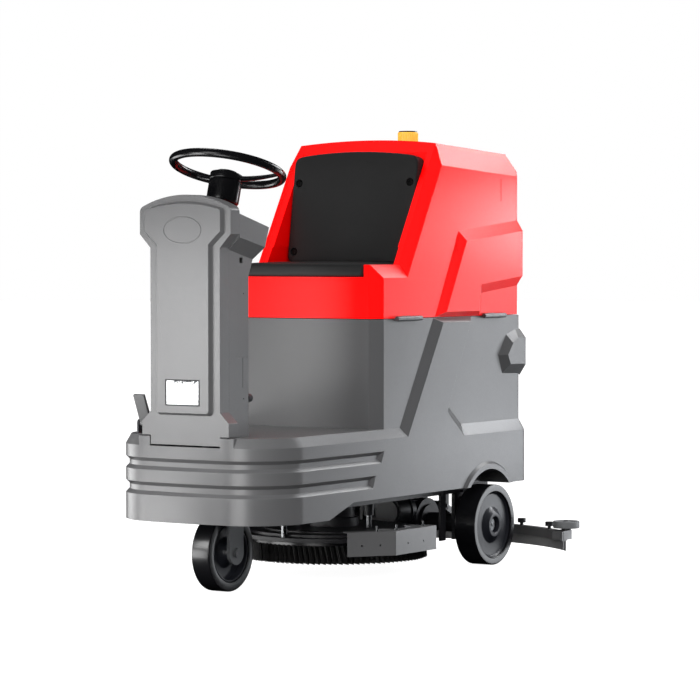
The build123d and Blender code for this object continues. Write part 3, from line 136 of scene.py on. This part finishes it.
# Base colour, roughness and grain of each finish, and what else its shader is given.
FINISHES = {
    "grey_plastic": ((0.078, 0.078, 0.08), 0.34, 0.2, dict(vary=0.03, Specular_IOR_Level=0.65)),
    "red_plastic": ((1.0, 0.0003, 0.0003), 0.33, 0.04, dict(vary=0.0, Specular_IOR_Level=0.22)),
    "black_plastic": ((0.016, 0.016, 0.018), 0.5, 0.2, dict(vary=0.1)),
    "gloss_black": ((0.003, 0.003, 0.0035), 0.26, 0.0, dict(vary=0.03, coat=0.1, uneven=0.008)),
    "wheel_plastic": ((0.013, 0.014, 0.018), 0.33, 0.0, dict(vary=0.03, uneven=0.01)),
    "roller_plastic": ((0.17, 0.175, 0.18), 0.5, 0.15, dict(vary=0.05)),
    "steel": ((0.22, 0.225, 0.23), 0.3, 0.1, dict(vary=0.06, metallic=1.0)),
    "dark_steel": ((0.05, 0.05, 0.055), 0.4, 0.1, dict(vary=0.1, metallic=0.6)),
    "black_steel": ((0.014, 0.014, 0.016), 0.45, 0.2, dict(vary=0.1)),
    "fork_steel": ((0.13, 0.135, 0.14), 0.42, 0.1, dict(vary=0.05, metallic=0.5)),
    "guard_steel": ((0.1, 0.1, 0.102), 0.34, 0.08, dict(vary=0.03, Specular_IOR_Level=0.8)),
    "tyre": ((0.005, 0.005, 0.006), 0.3, 0.0, dict(vary=0.03, coat=0.3, uneven=0.01)),
    "bristle": ((0.008, 0.008, 0.008), 0.5, 0.2, dict(vary=0.2)),
    "squeegee_rubber": ((0.20, 0.2, 0.2), 0.6, 0.1, dict(vary=0.05)),
    "seat_vinyl": ((0.012, 0.012, 0.0122), 0.5, 0.3,
                   dict(vary=0.06, fine=1100.0, Specular_IOR_Level=0.28)),
    "bolt_black": ((0.002, 0.002, 0.002), 0.5, 0.05, dict(vary=0.1, Specular_IOR_Level=0.2)),
    "lens": ((0.95, 0.97, 1.0), 0.1, 0.0,
             dict(vary=0.01, Emission_Color=(1, 1, 1, 1), Emission_Strength=0.4)),
    "amber": ((1.0, 0.52, 0.06), 0.22, 0.0,
              dict(vary=0.02, coat=0.4, Emission_Color=(1.0, 0.6, 0.1, 1), Emission_Strength=0.28)),
    "hinge_steel": ((0.12, 0.122, 0.125), 0.38, 0.1, dict(vary=0.05, metallic=0.7)),
    "prism": ((0.03, 0.032, 0.036), 0.3, 0.0, dict(vary=0.05)),
    "button_red": ((0.6, 0.01, 0.01), 0.25, 0.0, dict(vary=0.02, coat=0.3)),
}
MATERIALS = {name: moulded(name, colour, roughness, grain, **more)
             for name, (colour, roughness, grain, more) in FINISHES.items()}
# Finishes that aren't record slots, and the nodes that wear one.
NODE_FINISH = {"hinge_base": "hinge_steel", "hinge_tank": "hinge_steel"}


def dress(piece, finish):
    """Gives a piece one of the materials."""
    piece.data.materials.clear()
    piece.data.materials.append(MATERIALS[finish])


def dress_as_node(piece, node):
    """Gives a piece the finish of a CAD node."""
    dress(piece, NODE_FINISH.get(node, slot_of[node]))


# --- edge rounding ----------------------------------------------------------------------------
WELD_DISTANCE = 1e-5
FLAT_ANGLE = math.radians(0.6)             # faces that meet at less are one face
EDGE_ANGLE = math.radians(14.0)            # edges that bend more are rounded
EDGE_STEPS = 3
SOFT_EDGES = {                             # rounding of each node's edges, in millimetres
    "base_body": 3.0, "recovery_tank": 3.0, "column_cover": 2.5, "column_housing": 3.5,
    "tank_lid": 2.0, "control_panel": 0.8, "headlight_bezel": 1.0, "headlight_lens": 1.0,
    "brush_guards": 0.8, "squeegee_beam": 0.8, "squeegee_arm": 1.5, "fork": 1.2,
    "front_axle": 1.0, "accelerator_pedal": 1.0, "pedal_bracket": 0.8, "chassis_frame": 1.5,
    "transaxle": 2.0, "drive_motor": 2.0, "brush_deck": 1.0, "brush_motor": 2.0,
    "deck_actuator": 1.5, "hinge_base": 0.6, "hinge_tank": 0.6,
}
COVER_GAPS = ((0.3895, 0.003), (0.4135, 0.002))    # heights below which the cover is cut back, by how much


def clean_copy(node):
    """A welded copy of a CAD node's mesh, its flat faces merged, as a new mesh."""
    mesh = nodes[node].data.copy()
    work = bmesh.new()
    work.from_mesh(mesh)
    bmesh.ops.remove_doubles(work, verts=work.verts, dist=WELD_DISTANCE)
    bmesh.ops.dissolve_limit(work, angle_limit=FLAT_ANGLE, verts=work.verts, edges=work.edges,
                             use_dissolve_boundaries=False)
    bmesh.ops.recalc_face_normals(work, faces=work.faces)
    work.to_mesh(mesh)
    work.free()
    return mesh


def soften(node, width):
    """Stands in for a CAD node with the same shape, its sharp edges rounded to `width` metres."""
    mesh = clean_copy(node)
    piece = bpy.data.objects.new(node + "_body", mesh)
    bpy.context.scene.collection.objects.link(piece)
    mesh.shade_smooth()
    edge = piece.modifiers.new("round", "BEVEL")
    edge.limit_method = "ANGLE"
    edge.angle_limit = EDGE_ANGLE
    edge.width = width
    edge.segments = EDGE_STEPS
    edge.use_clamp_overlap = True
    edge.miter_outer = "MITER_ARC"
    weigh = piece.modifiers.new("normals", "WEIGHTED_NORMAL")
    weigh.keep_sharp = True
    weigh.weight = 100
    dress_as_node(piece, node)
    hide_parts(node)
    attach(piece, body_of[node])
    return piece


# --- mesh helpers -----------------------------------------------------------------------------
def finished_mesh(work, name):
    """The bmesh as a mesh, its faces turned outward."""
    bmesh.ops.recalc_face_normals(work, faces=work.faces)
    mesh = bpy.data.meshes.new(name)
    work.to_mesh(mesh)
    work.free()
    return mesh


def new_piece(name, mesh, finish, body, *replaced, sharp=35.0):
    """Links a finished mesh as a piece that rides on `body` and stands for CAD nodes."""
    mesh.shade_smooth()
    mesh.set_sharp_from_angle(angle=math.radians(sharp))
    piece = bpy.data.objects.new(name, mesh)
    bpy.context.scene.collection.objects.link(piece)
    dress(piece, finish)
    if replaced:
        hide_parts(*replaced)
    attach(piece, body)
    return piece


def rounded(points, radius, steps=4, closed=True):
    """The outline with its corners rounded by up to `radius`."""
    result = []
    count = len(points)
    for i, corner in enumerate(points):
        if not closed and i in (0, count - 1):
            result.append(tuple(corner))
            continue
        here = Vector(corner)
        before = Vector(points[i - 1]) - here
        after = Vector(points[(i + 1) % count]) - here
        reach = min(radius, 0.45 * before.length, 0.45 * after.length)
        start = here + before.normalized() * reach
        end = here + after.normalized() * reach
        for step in range(steps + 1):
            t = step / steps
            result.append(tuple(start * (1 - t) ** 2 + here * 2 * t * (1 - t) + end * t * t))
    return result


def turned_mesh(name, profile, centre, axis, segments=128, closed=True, swell=None):
    """Mesh of `profile`, points (along, radius), spun about `axis` through `centre`."""
    work = bmesh.new()
    frame_turn = Vector((0, 0, 1)).rotation_difference(Vector(axis)).to_matrix()
    centre = Vector(centre)
    rings = []
    for k in range(segments):
        angle = 2 * math.pi * k / segments
        ring = []
        for along, radius in profile:
            grown = radius + (swell(angle, along) if swell else 0.0)
            local = Vector((grown * math.cos(angle), grown * math.sin(angle), along))
            ring.append(work.verts.new(centre + frame_turn @ local))
        rings.append(ring)
    spans = len(profile) if closed else len(profile) - 1
    for k in range(segments):
        one, two = rings[k], rings[(k + 1) % segments]
        for i in range(spans):
            j = (i + 1) % len(profile)
            work.faces.new((one[i], two[i], two[j], one[j]))
    bmesh.ops.remove_doubles(work, verts=work.verts, dist=1e-6)
    return finished_mesh(work, name)


def turned(name, profile, centre, axis, finish, body, *replaced, **options):
    """A turned piece, straight from its profile."""
    mesh = turned_mesh(name, profile, centre, axis, **options)
    return new_piece(name, mesh, finish, body, *replaced)


def joined(name, meshes):
    """One mesh holding all of these."""
    work = bmesh.new()
    for mesh in meshes:
        work.from_mesh(mesh)
    result = bpy.data.meshes.new(name)
    work.to_mesh(result)
    work.free()
    return result


def pad_mesh(name, outline, levels, to_world):
    """Closed pad: the outline carried up through (scale, height) levels, each placed by `to_world`."""
    work = bmesh.new()
    centre = sum((Vector(point) for point in outline), Vector((0, 0))) / len(outline)
    rings = []
    for share, height in levels:
        rings.append([work.verts.new(to_world(centre + (Vector(point) - centre) * share, height))
                      for point in outline])
    for low, high in zip(rings, rings[1:]):
        for i in range(len(outline)):
            work.faces.new((low[i - 1], low[i], high[i], high[i - 1]))
    work.faces.new(rings[0])
    work.faces.new(rings[-1])
    return finished_mesh(work, name)


def cut_away(piece, tool_mesh):
    """Takes the tool's volume out of the piece for good."""
    tool = bpy.data.objects.new("tool", tool_mesh)
    bpy.context.scene.collection.objects.link(tool)
    cut = piece.modifiers.new("cut", "BOOLEAN")
    cut.operation = "DIFFERENCE"
    cut.solver = "EXACT"
    cut.object = tool
    graph = bpy.context.evaluated_depsgraph_get()
    result = bpy.data.meshes.new_from_object(piece.evaluated_get(graph))
    piece.modifiers.clear()
    piece.data = result
    bpy.data.objects.remove(tool)


def on_drawing(x, y, z):
    """Point given in millimetres from the drawing's datum."""
    return Vector((x * MM, y * MM + DATUM_Y, z * MM))


def mm(points):
    """Pairs given in millimetres, in metres."""
    return [(a * MM, b * MM) for a, b in points]


# --- wheels -----------------------------------------------------------------------------------
TYRE_SEGMENTS = 192


def tyre_profile(half_width, radius, inner):
    """A band with slightly rounded shoulders, in metres from millimetres."""
    outline = [(-half_width, inner), (half_width, inner), (half_width, radius), (-half_width, radius)]
    return rounded(mm(outline), 3.5 * MM, 5)


def front_wheel():
    """Tyre and centre of the steered wheel."""
    centre = on_drawing(0, -614, 102.4)
    turned("front_tyre_ring", tyre_profile(27.5, 102.4, 77.0), centre, (1, 0, 0), "tyre", "front_wheel",
           "front_tyre", segments=TYRE_SEGMENTS)
    half = [(26, 77), (26, 72), (7, 71.5), (7, 40), (21, 27), (34, 24), (34, 8.06)]
    outline = half + [(-x, r) for x, r in reversed(half)]
    turned("front_wheel_centre", rounded(mm(outline), 2.0 * MM, 4), centre, (1, 0, 0), "wheel_plastic",
           "front_wheel", "front_hub", segments=128)


def rear_wheels():
    """Tyre, dished centre and shaft nut of each rear wheel."""
    for side, label in ((1, "left"), (-1, "right")):
        body = label + "_wheel"
        centre = on_drawing(side * 235.5, 341, 114)
        axis = (side, 0, 0)
        turned(label + "_tyre_ring", tyre_profile(32.5, 114.0, 93.5), centre, axis, "tyre", body,
               label + "_tyre", segments=TYRE_SEGMENTS)
        dish = [(-31.5, 93.5), (27.5, 93.5), (20.5, 88), (20.5, 52), (25.5, 44), (34.5, 34), (34.5, 23),
                (18.5, 21), (18.5, 12.05), (-27.5, 12.05), (-27.5, 40), (-1.5, 50), (-1.5, 84), (-31.5, 88)]
        turned(label + "_wheel_centre", rounded(mm(dish), 2.5 * MM, 4), centre, axis, "wheel_plastic",
               body, label + "_hub", segments=128)
        cap = [(18.7, 0), (27.0, 0), (26.0, 3.5), (23.5, 6.5), (21.5, 7.6), (21.5, 12.0), (18.7, 12.0)]
        turned(label + "_shaft_nut", mm(cap), centre, axis, "steel", body, segments=48)


# --- brush ------------------------------------------------------------------------------------
BRUSH_CENTRE = on_drawing(0, -80, 0)
TUFT_ROWS = ((0.2475, 104), (0.233, 98), (0.218, 92), (0.203, 86), (0.188, 79), (0.173, 73), (0.158, 66))
TUFT_TOP, TUFT_TIP = 0.0985, 0.0472        # heights of the strands' roots and tips
TUFT_LEAN, TUFT_FLARE = 0.011, 0.0035      # how far the tips lie round the disc, and outward
TUFT_RADIUS = 0.0036
TIP_OPENING = 0.55                         # how much wider than its root a tuft opens at the tip
TIP_RAGGED = 0.0035
STRANDS = 9
ROOT_WIDTH, TIP_WIDTH = 0.0017, 0.0014     # half widths of one strand


def bristle_tufts():
    """Every tuft of the disc brush: a bundle of strands that leans round the disc."""
    work = bmesh.new()
    golden = math.radians(137.5)
    corners = [k * math.pi / 2 for k in range(4)]
    for row, (radius, count) in enumerate(TUFT_ROWS):
        for k in range(count):
            angle = 2 * math.pi * (k + 0.5 * (row % 2)) / count
            out = Vector((math.cos(angle), math.sin(angle), 0))
            round_way = Vector((-out.y, out.x, 0))
            root = BRUSH_CENTRE + out * radius
            for strand in range(STRANDS):
                share = math.sqrt((strand + 0.5) / STRANDS)
                turn = strand * golden + k
                offset = (out * math.cos(turn) + round_way * math.sin(turn)) * TUFT_RADIUS * share
                slant = offset * TIP_OPENING + out * TUFT_FLARE + round_way * TUFT_LEAN
                tip_z = TUFT_TIP + TIP_RAGGED * (0.5 - 0.5 * math.sin(turn) * share)
                top = root + offset + Vector((0, 0, TUFT_TOP))
                tip = root + offset + slant + Vector((0, 0, tip_z))
                ends = []
                for place, width in ((top, ROOT_WIDTH), (tip, TIP_WIDTH)):
                    ends.append([work.verts.new(place + (out * math.cos(a) + round_way * math.sin(a)) * width)
                                 for a in corners])
                for i in range(4):
                    work.faces.new((ends[0][i], ends[0][i - 1], ends[1][i - 1], ends[1][i]))
                work.faces.new(ends[1])
                work.faces.new(list(reversed(ends[0])))
    mesh = finished_mesh(work, "bristle_tufts")
    new_piece("bristle_tufts", mesh, "bristle", "brush", "bristle_ring")


# --- steering wheel ---------------------------------------------------------------------------
STEER_CENTRE = on_drawing(0, -589, 1104)
STEER_LEAN = math.radians(16.0)
STEER_AXIS = Vector((0, math.sin(STEER_LEAN), math.cos(STEER_LEAN)))
RIM_RADIUS, RIM_TUBE = 0.144, 0.0113
RIM_SIDES = 24
SPOKE_ANGLES = (20, 160)
SPOKE_STEPS, SPOKE_SIDES = 12, 16
SPOKE_START, SPOKE_END = 30, 142           # reach of a spoke, in millimetres


def spoke(work, turn, lean):
    """A spoke that rises from the hub to the rim, wide and deep at its root."""
    way = Vector((math.cos(math.radians(turn)), math.sin(math.radians(turn)), 0))
    across = Vector((-way.y, way.x, 0))
    rings = []
    for step in range(SPOKE_STEPS + 1):
        t = step / SPOKE_STEPS
        reach = (SPOKE_START + (SPOKE_END - SPOKE_START) * t) * MM
        drop = (-24 + 23 * t ** 1.6) * MM
        wide = (13 - 6 * min(1.0, t * 1.3)) * MM
        deep = (7.5 - 3.0 * t) * MM
        ring = []
        for k in range(SPOKE_SIDES):
            angle = 2 * math.pi * k / SPOKE_SIDES
            lift = Vector((0, 0, drop + deep * math.sin(angle)))
            local = way * reach + across * wide * math.cos(angle) + lift
            ring.append(work.verts.new(STEER_CENTRE + lean @ local))
        rings.append(ring)
    for one, two in zip(rings, rings[1:]):
        for k in range(SPOKE_SIDES):
            work.faces.new((one[k], one[k - 1], two[k - 1], two[k]))
    work.faces.new(rings[0])
    work.faces.new(rings[-1])


def steering_wheel():
    """Rim, hub plate and two spokes in one piece, then the boss below and the cap on top."""
    tube = []
    for k in range(RIM_SIDES):
        angle = 2 * math.pi * k / RIM_SIDES
        tube.append((RIM_TUBE * math.sin(angle), RIM_RADIUS + RIM_TUBE * math.cos(angle)))
    rim = turned_mesh("rim", tube, STEER_CENTRE, STEER_AXIS, segments=160)
    plate = rounded(mm([(-34, 8.1), (-34, 43), (-14, 43), (-14, 8.1)]), 4 * MM, 5)
    plate = turned_mesh("plate", plate, STEER_CENTRE, STEER_AXIS, segments=96)
    work = bmesh.new()
    work.from_mesh(rim)
    work.from_mesh(plate)
    lean = Vector((0, 0, 1)).rotation_difference(STEER_AXIS).to_matrix()
    for turn in SPOKE_ANGLES:
        spoke(work, turn, lean)
    mesh = finished_mesh(work, "steering_wheel_rim")
    new_piece("steering_wheel_rim", mesh, "gloss_black", "steering", "steering_wheel", sharp=60)
    boss = rounded(mm([(-92, 8.1), (-92, 42), (-86, 43), (-34.5, 43), (-34.5, 8.1)]), 3 * MM, 4)
    turned("steering_boss", boss, STEER_CENTRE, STEER_AXIS, "gloss_black", "steering", segments=96)
    cap = rounded(mm([(-14, 0), (-6.5, 0), (-7.5, 27), (-14, 30)]), 2.5 * MM, 4, closed=False)
    cap_piece = turned("steering_cap", cap, STEER_CENTRE, STEER_AXIS, "gloss_black", "steering",
                       closed=False, segments=64)
    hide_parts("steering_hub")


# --- beacon -----------------------------------------------------------------------------------
BEACON_RIBS, RIB_HEIGHT = 30, 0.0005
RIBS_FROM, RIBS_TO = 1.197, 1.227


def ribbed(angle, along):
    """How far the beacon's wall stands out at this angle and height."""
    return RIB_HEIGHT * math.cos(BEACON_RIBS * angle) if RIBS_FROM < along < RIBS_TO else 0.0


def beacon():
    """Ribbed amber dome with a thin dark cap."""
    centre = on_drawing(0, 306, 0)
    shell = rounded(mm([(1195, 0), (1195, 29.0), (1229, 28.6), (1229.6, 0)]), 2.2 * MM, 5, closed=False)
    walls = [(1195 + 2.0 * i) * MM for i in range(1, 16)]
    side = [(z, 0.0288) for z in walls]
    middle = [p for p in shell if p[0] <= 1.1975]
    top = [p for p in shell if p[0] >= 1.2265]
    turned("beacon_dome", middle + side + top, centre, (0, 0, 1), "amber", "upper_body", "beacon_lens",
           closed=False, segments=240, swell=ribbed)
    cap = rounded(mm([(1229.2, 0), (1229.2, 27), (1232.6, 25.5), (1233, 0)]), 1.2 * MM, 4, closed=False)
    turned("beacon_cap", cap, centre, (0, 0, 1), "gloss_black", "upper_body", closed=False, segments=96)


# --- squeegee rollers -------------------------------------------------------------------------
def bumper_rollers():
    """End rollers with a recessed top face."""
    profile = [(0, 6.06), (0, 38), (20, 38), (20, 31.5), (15.5, 30.5), (15.5, 11), (19, 10), (19, 6.06)]
    disc = rounded(mm(profile), 2.0 * MM, 4)
    for side, label in ((1, "left"), (-1, "right")):
        centre = on_drawing(side * 371, 575, 92)
        turned(label + "_roller_disc", disc, centre, (0, 0, 1), "roller_plastic",
               label + "_bumper_roller", label + "_roller", segments=96)


# --- seat -------------------------------------------------------------------------------------
BACK_LEAN = math.atan2(40, 276)
BACK_BOLTS = ((-183, 1080), (183, 1080), (-183, 888), (183, 888))
BACK_HALF, BACK_LOW, BACK_HIGH, BACK_CROWN = 203.0, 858.0, 1152.0, 15.0
BACK_CORNER = 22
EDGE_STEP = 20                             # the outline has a point at least this often
SEAT_FOOT = 820.4


def back_point(x, z, depth):
    """Point `depth` behind the leaning front face of the backrest, in millimetres."""
    y = -10 + (z - 877) * math.tan(BACK_LEAN)
    return on_drawing(x, y + depth * math.cos(BACK_LEAN), z - depth * math.sin(BACK_LEAN))


def back_outline():
    """Outline of the board, along its face: rounded corners and a top edge crowned in the middle."""
    tall = (BACK_HIGH - BACK_LOW) / math.cos(BACK_LEAN)
    half = BACK_HALF
    corners = rounded([(-half, 0), (half, 0), (half, tall), (-half, tall)], BACK_CORNER, 6)
    outline = []
    for i, end in enumerate(corners):
        start = corners[i - 1]
        steps = max(1, round(math.dist(start, end) / EDGE_STEP))
        for k in range(1, steps + 1):
            across = start[0] + (end[0] - start[0]) * k / steps
            along = start[1] + (end[1] - start[1]) * k / steps
            crown = BACK_CROWN * (1 - (across / half) ** 2) if along > tall / 2 else 0.0
            outline.append((across, along + crown))
    return outline


def backrest():
    """Flat padded board with sunk bolts."""
    up = Vector((0, math.sin(BACK_LEAN), math.cos(BACK_LEAN)))
    out = Vector((0, -math.cos(BACK_LEAN), math.sin(BACK_LEAN)))
    foot = back_point(0, BACK_LOW, 0)

    def to_world(point, height):
        return foot + Vector((point[0] * MM, 0, 0)) + up * (point[1] * MM) + out * (height * MM)

    def at_bolts(name, profile):
        turns = [turned_mesh(name, profile, back_point(x, z, 0), out, closed=False, segments=40)
                 for x, z in BACK_BOLTS]
        return joined(name, turns)
    levels = [(0.98, -40), (1.0, -37), (1.0, -5), (0.997, -2.2), (0.990, -0.8), (0.975, 0), (0.7, 0.9),
              (0.3, 1.4), (0.02, 1.5)]
    pad = pad_mesh("backrest_board", back_outline(), levels, to_world)
    board = new_piece("backrest_board", pad, "seat_vinyl", body_of["backrest_pad"], "backrest_pad")
    sink = mm([(-8, 0), (-8, 10.8), (-1.2, 11.0), (1, 12.4), (6, 12.4), (6, 0)])
    cut_away(board, at_bolts("sinks", sink))
    head = mm([(-9, 0), (-4.6, 0), (-4.6, 3.4), (-3.2, 3.8), (-3.2, 7.2), (-4.2, 8), (-7.6, 10.4),
               (-9, 10.4)])
    bolts = at_bolts("backrest_bolt_heads", head)
    new_piece("backrest_bolt_heads", bolts, "bolt_black", body_of["backrest_bolts"], "backrest_bolts")


def seat():
    """Seat cushion: crowned top, sides that pull in at the base."""
    corners = [(-204, -250), (204, -250), (204, -9), (-204, -9)]
    levels = [(0.975, 0), (0.992, 4), (1.0, 14), (1.0, 25), (0.995, 30), (0.98, 33.4), (0.95, 35),
              (0.8, 37.5), (0.5, 40), (0.02, 41)]

    def to_world(point, height):
        return on_drawing(point[0], point[1], SEAT_FOOT + height)
    pad = pad_mesh("seat_pad", rounded(corners, 14, 6), levels, to_world)
    cushion = new_piece("seat_pad", pad, "seat_vinyl", body_of["seat_cushion"], "seat_cushion")


# --- headlight --------------------------------------------------------------------------------
LENS_FRONT = -791.3                        # the lens's front face, in millimetres from the datum
FACET_SINK, FACET_RISE = 0.05, 0.9
GOLDEN = 0.618034                          # its multiples scatter evenly between 0 and 1


def scatter(number):
    """A value from 0 to 1 that looks random and is the same each time."""
    return (number * GOLDEN) % 1.0


def facet(work, x, z, wide, tall):
    """A low pyramid on the lens, `wide` by `tall` millimetres to each side of its middle."""
    front = LENS_FRONT - FACET_SINK
    base = [work.verts.new(on_drawing(x + dx * wide, front, z + dz * tall))
            for dx, dz in ((-1, -1), (1, -0.7), (0.8, 1), (-0.7, 0.8))]
    tip = work.verts.new(on_drawing(x + 0.3 * wide, front - FACET_RISE, z))
    for i in range(4):
        work.faces.new((base[i - 1], base[i], tip))
    work.faces.new(base)


def headlight_prisms():
    """Small dark facets on the lens, along its top and its right edge."""
    work = bmesh.new()
    k = 0
    for row in range(5):
        for column in range(26):
            k += 1
            x = -26 + 3.0 * column
            if x > 47 or scatter(k) > 0.9 - 0.2 * row:
                continue
            wide = 1.0 + 1.3 * scatter(k * 7)
            tall = 0.9 + 1.3 * scatter(k * 3)
            facet(work, x, 555.5 - 3.2 * row, wide, tall)
    for row in range(18):
        for column in range(2):
            k += 1
            if scatter(k) > 0.55:
                continue
            facet(work, 44.5 + 3.4 * column, 553 - 3.1 * row, 1.1, 0.6 + 1.4 * scatter(k * 5))
    mesh = finished_mesh(work, "headlight_prisms")
    new_piece("headlight_prisms", mesh, "prism", body_of["headlight_lens"])


# --- carried-over nodes -----------------------------------------------------------------------
def lift_cover_edge(mesh):
    """Leaves the dark joint that shows between the column cover and the deck."""
    for vertex in mesh.vertices:
        for level, lift in COVER_GAPS:
            if vertex.co.z < level:
                vertex.co.z += lift
                break


def round_edges():
    """Rounds the nodes listed for it, and gives the rest their materials."""
    for node, width in SOFT_EDGES.items():
        piece = soften(node, width * MM)
        if node == "column_cover":
            lift_cover_edge(piece.data)
    for node, piece in nodes.items():
        if node not in SOFT_EDGES:
            dress_as_node(piece, node)


def details():
    front_wheel()
    rear_wheels()
    bristle_tufts()
    steering_wheel()
    beacon()
    bumper_rollers()
    backrest()
    seat()
    headlight_prisms()


# --- stage, light and camera ------------------------------------------------------------------
FLOOR_SIZE, FLOOR_HEIGHT = 80, -0.0005
FLOOR_GLOW, GLOW_NEAR, GLOW_FAR = 0.95, 0.9, 2.6     # the floor's glow near the machine, and its fade
BACKDROP_RADIUS = 45


def camera_only(piece):
    """Leaves a stage piece out of the light that reaches the machine."""
    piece.visible_diffuse = False
    piece.visible_glossy = False
    piece.visible_transmission = False
    piece.visible_shadow = False


def stage():
    """Pale floor that fades into a white backdrop, so the underside of the machine stays dark."""
    bpy.ops.mesh.primitive_plane_add(size=FLOOR_SIZE, location=(0, 0, FLOOR_HEIGHT))
    floor = bpy.context.object
    floor.name = "floor"
    material, tree, bsdf = shader("floor", (0.3, 0.3, 0.3), 1.0, Emission_Color=(1, 1, 1, 1))
    place = tree.nodes.new("ShaderNodeTexCoord")
    reach = tree.nodes.new("ShaderNodeVectorMath")
    reach.operation = "LENGTH"
    tree.links.new(place.outputs["Object"], reach.inputs[0])
    glow = spread(tree, reach.outputs["Value"], FLOOR_GLOW, 1.0, GLOW_NEAR, GLOW_FAR)
    tree.links.new(glow, bsdf.inputs["Emission Strength"])
    floor.data.materials.append(material)
    bpy.ops.mesh.primitive_uv_sphere_add(radius=BACKDROP_RADIUS, segments=48, ring_count=24)
    backdrop = bpy.context.object
    backdrop.name = "backdrop"
    material, _, _ = shader("backdrop", (0, 0, 0), 1.0, Emission_Color=(1, 1, 1, 1),
                            Emission_Strength=1.0)
    backdrop.data.materials.append(material)
    for piece in (floor, backdrop):
        camera_only(piece)


# Softboxes round the machine: azimuth from the front towards +X, height and reach in metres,
# width and height in metres, watts, colour, and whether reflections show it.
SOFTBOXES = {
    "front_left": (292, 0.3, 1.7, (0.9, 0.7), 9.5, (1, 1, 1), True),
    "front_low": (328, 0.05, 1.7, (0.8, 0.4), 7.0, (1, 1, 1), True),
    "front": (341, 0.65, 1.7, (0.5, 0.6), 7.5, (1, 1, 1), True),
    "front_centre": (8, 0.25, 1.7, (0.5, 0.5), 4.5, (1, 1, 1), True),
    "front_high": (0, 1.1, 1.7, (0.5, 0.7), 3.5, (1, 1, 1), True),
    "camera_side": (35, 0.8, 1.8, (0.6, 0.7), 11.5, (1, 1, 1), False),
    "right": (90, 1.1, 1.8, (0.6, 1.4), 8.0, (0.95, 0.97, 1), False),
    "rear_right_low": (146, 0.05, 1.8, (0.7, 0.5), 3.5, (0.93, 0.96, 1), True),
    "rear_right": (148, 0.5, 1.8, (0.6, 0.6), 4.2, (0.93, 0.96, 1), True),
    "rear_right_mid": (153.5, 0.98, 1.84, (0.35, 0.25), 4.5, (0.95, 0.97, 1), True),
    "roof_left": (249, 2.4, 0.85, (0.4, 0.4), 3.0, (1, 1, 1), True),
    "rear_right_high": (146, 1.9, 1.8, (0.6, 0.6), 8.0, (0.95, 0.97, 1), True),
    "rear_rim": (166, 1.9, 2.1, (0.8, 0.4), 10.0, (1, 1, 1), True),
    "above_front": (340, 2.9, 0.9, (0.6, 0.6), 30.0, (1, 1, 1), False),
}
AIM = (0, 0, 0.6)
SKY_STRENGTH = 0.75
HORIZON_BLUR = 0.1


def softbox(name, azimuth, height, reach, size, power, colour, reflected):
    """One rectangular lamp aimed at the machine's middle."""
    data = bpy.data.lights.new(name, "AREA")
    data.shape = "RECTANGLE"
    data.size, data.size_y = size
    data.energy = power
    data.color = colour
    lamp = bpy.data.objects.new(name, data)
    bpy.context.scene.collection.objects.link(lamp)
    turn = math.radians(azimuth)
    lamp.location = (reach * math.sin(turn), -reach * math.cos(turn), height)
    lamp.rotation_euler = (Vector(AIM) - lamp.location).to_track_quat("-Z", "Y").to_euler()
    lamp.visible_camera = False
    lamp.visible_glossy = reflected


def lighting():
    """Softboxes, and an even sky above the horizon that lights but doesn't reflect."""
    world = bpy.data.worlds.new("studio")
    bpy.context.scene.world = world
    world.use_nodes = True
    tree = world.node_tree
    background = tree.nodes["Background"]
    background.inputs["Color"].default_value = (1, 1, 1, 1)
    place = tree.nodes.new("ShaderNodeTexCoord")
    split = tree.nodes.new("ShaderNodeSeparateXYZ")
    tree.links.new(place.outputs["Generated"], split.inputs[0])
    rise = spread(tree, split.outputs["Z"], 0.0, SKY_STRENGTH, -HORIZON_BLUR, HORIZON_BLUR)
    tree.links.new(rise, background.inputs["Strength"])
    world.cycles_visibility.glossy = False
    for name, settings in SOFTBOXES.items():
        softbox(name, *settings)
    bpy.context.scene.view_settings.view_transform = "Standard"


CAMERA_TARGET = Vector((0.0, 0.041, 0.6143))
CAMERA_TURN = math.radians(32.857)         # from the front towards the machine's left
CAMERA_RISE = math.radians(1.890)
CAMERA_DISTANCE = 8.3398
CAMERA_LENS, CAMERA_SENSOR = 154.08, 36.0


def camera():
    """Camera at a long lens, a little above the middle of the machine."""
    data = bpy.data.cameras.new("camera")
    data.sensor_width = CAMERA_SENSOR
    data.lens = CAMERA_LENS
    data.clip_end = 100.0
    view = bpy.data.objects.new("camera", data)
    bpy.context.scene.collection.objects.link(view)
    flat = math.cos(CAMERA_RISE)
    offset = Vector((math.sin(CAMERA_TURN) * flat, -math.cos(CAMERA_TURN) * flat, math.sin(CAMERA_RISE)))
    view.location = CAMERA_TARGET + offset * CAMERA_DISTANCE
    view.rotation_euler = (-offset).to_track_quat("-Z", "Y").to_euler()
    bpy.context.scene.camera = view


round_edges()
details()
stage()
lighting()
camera()
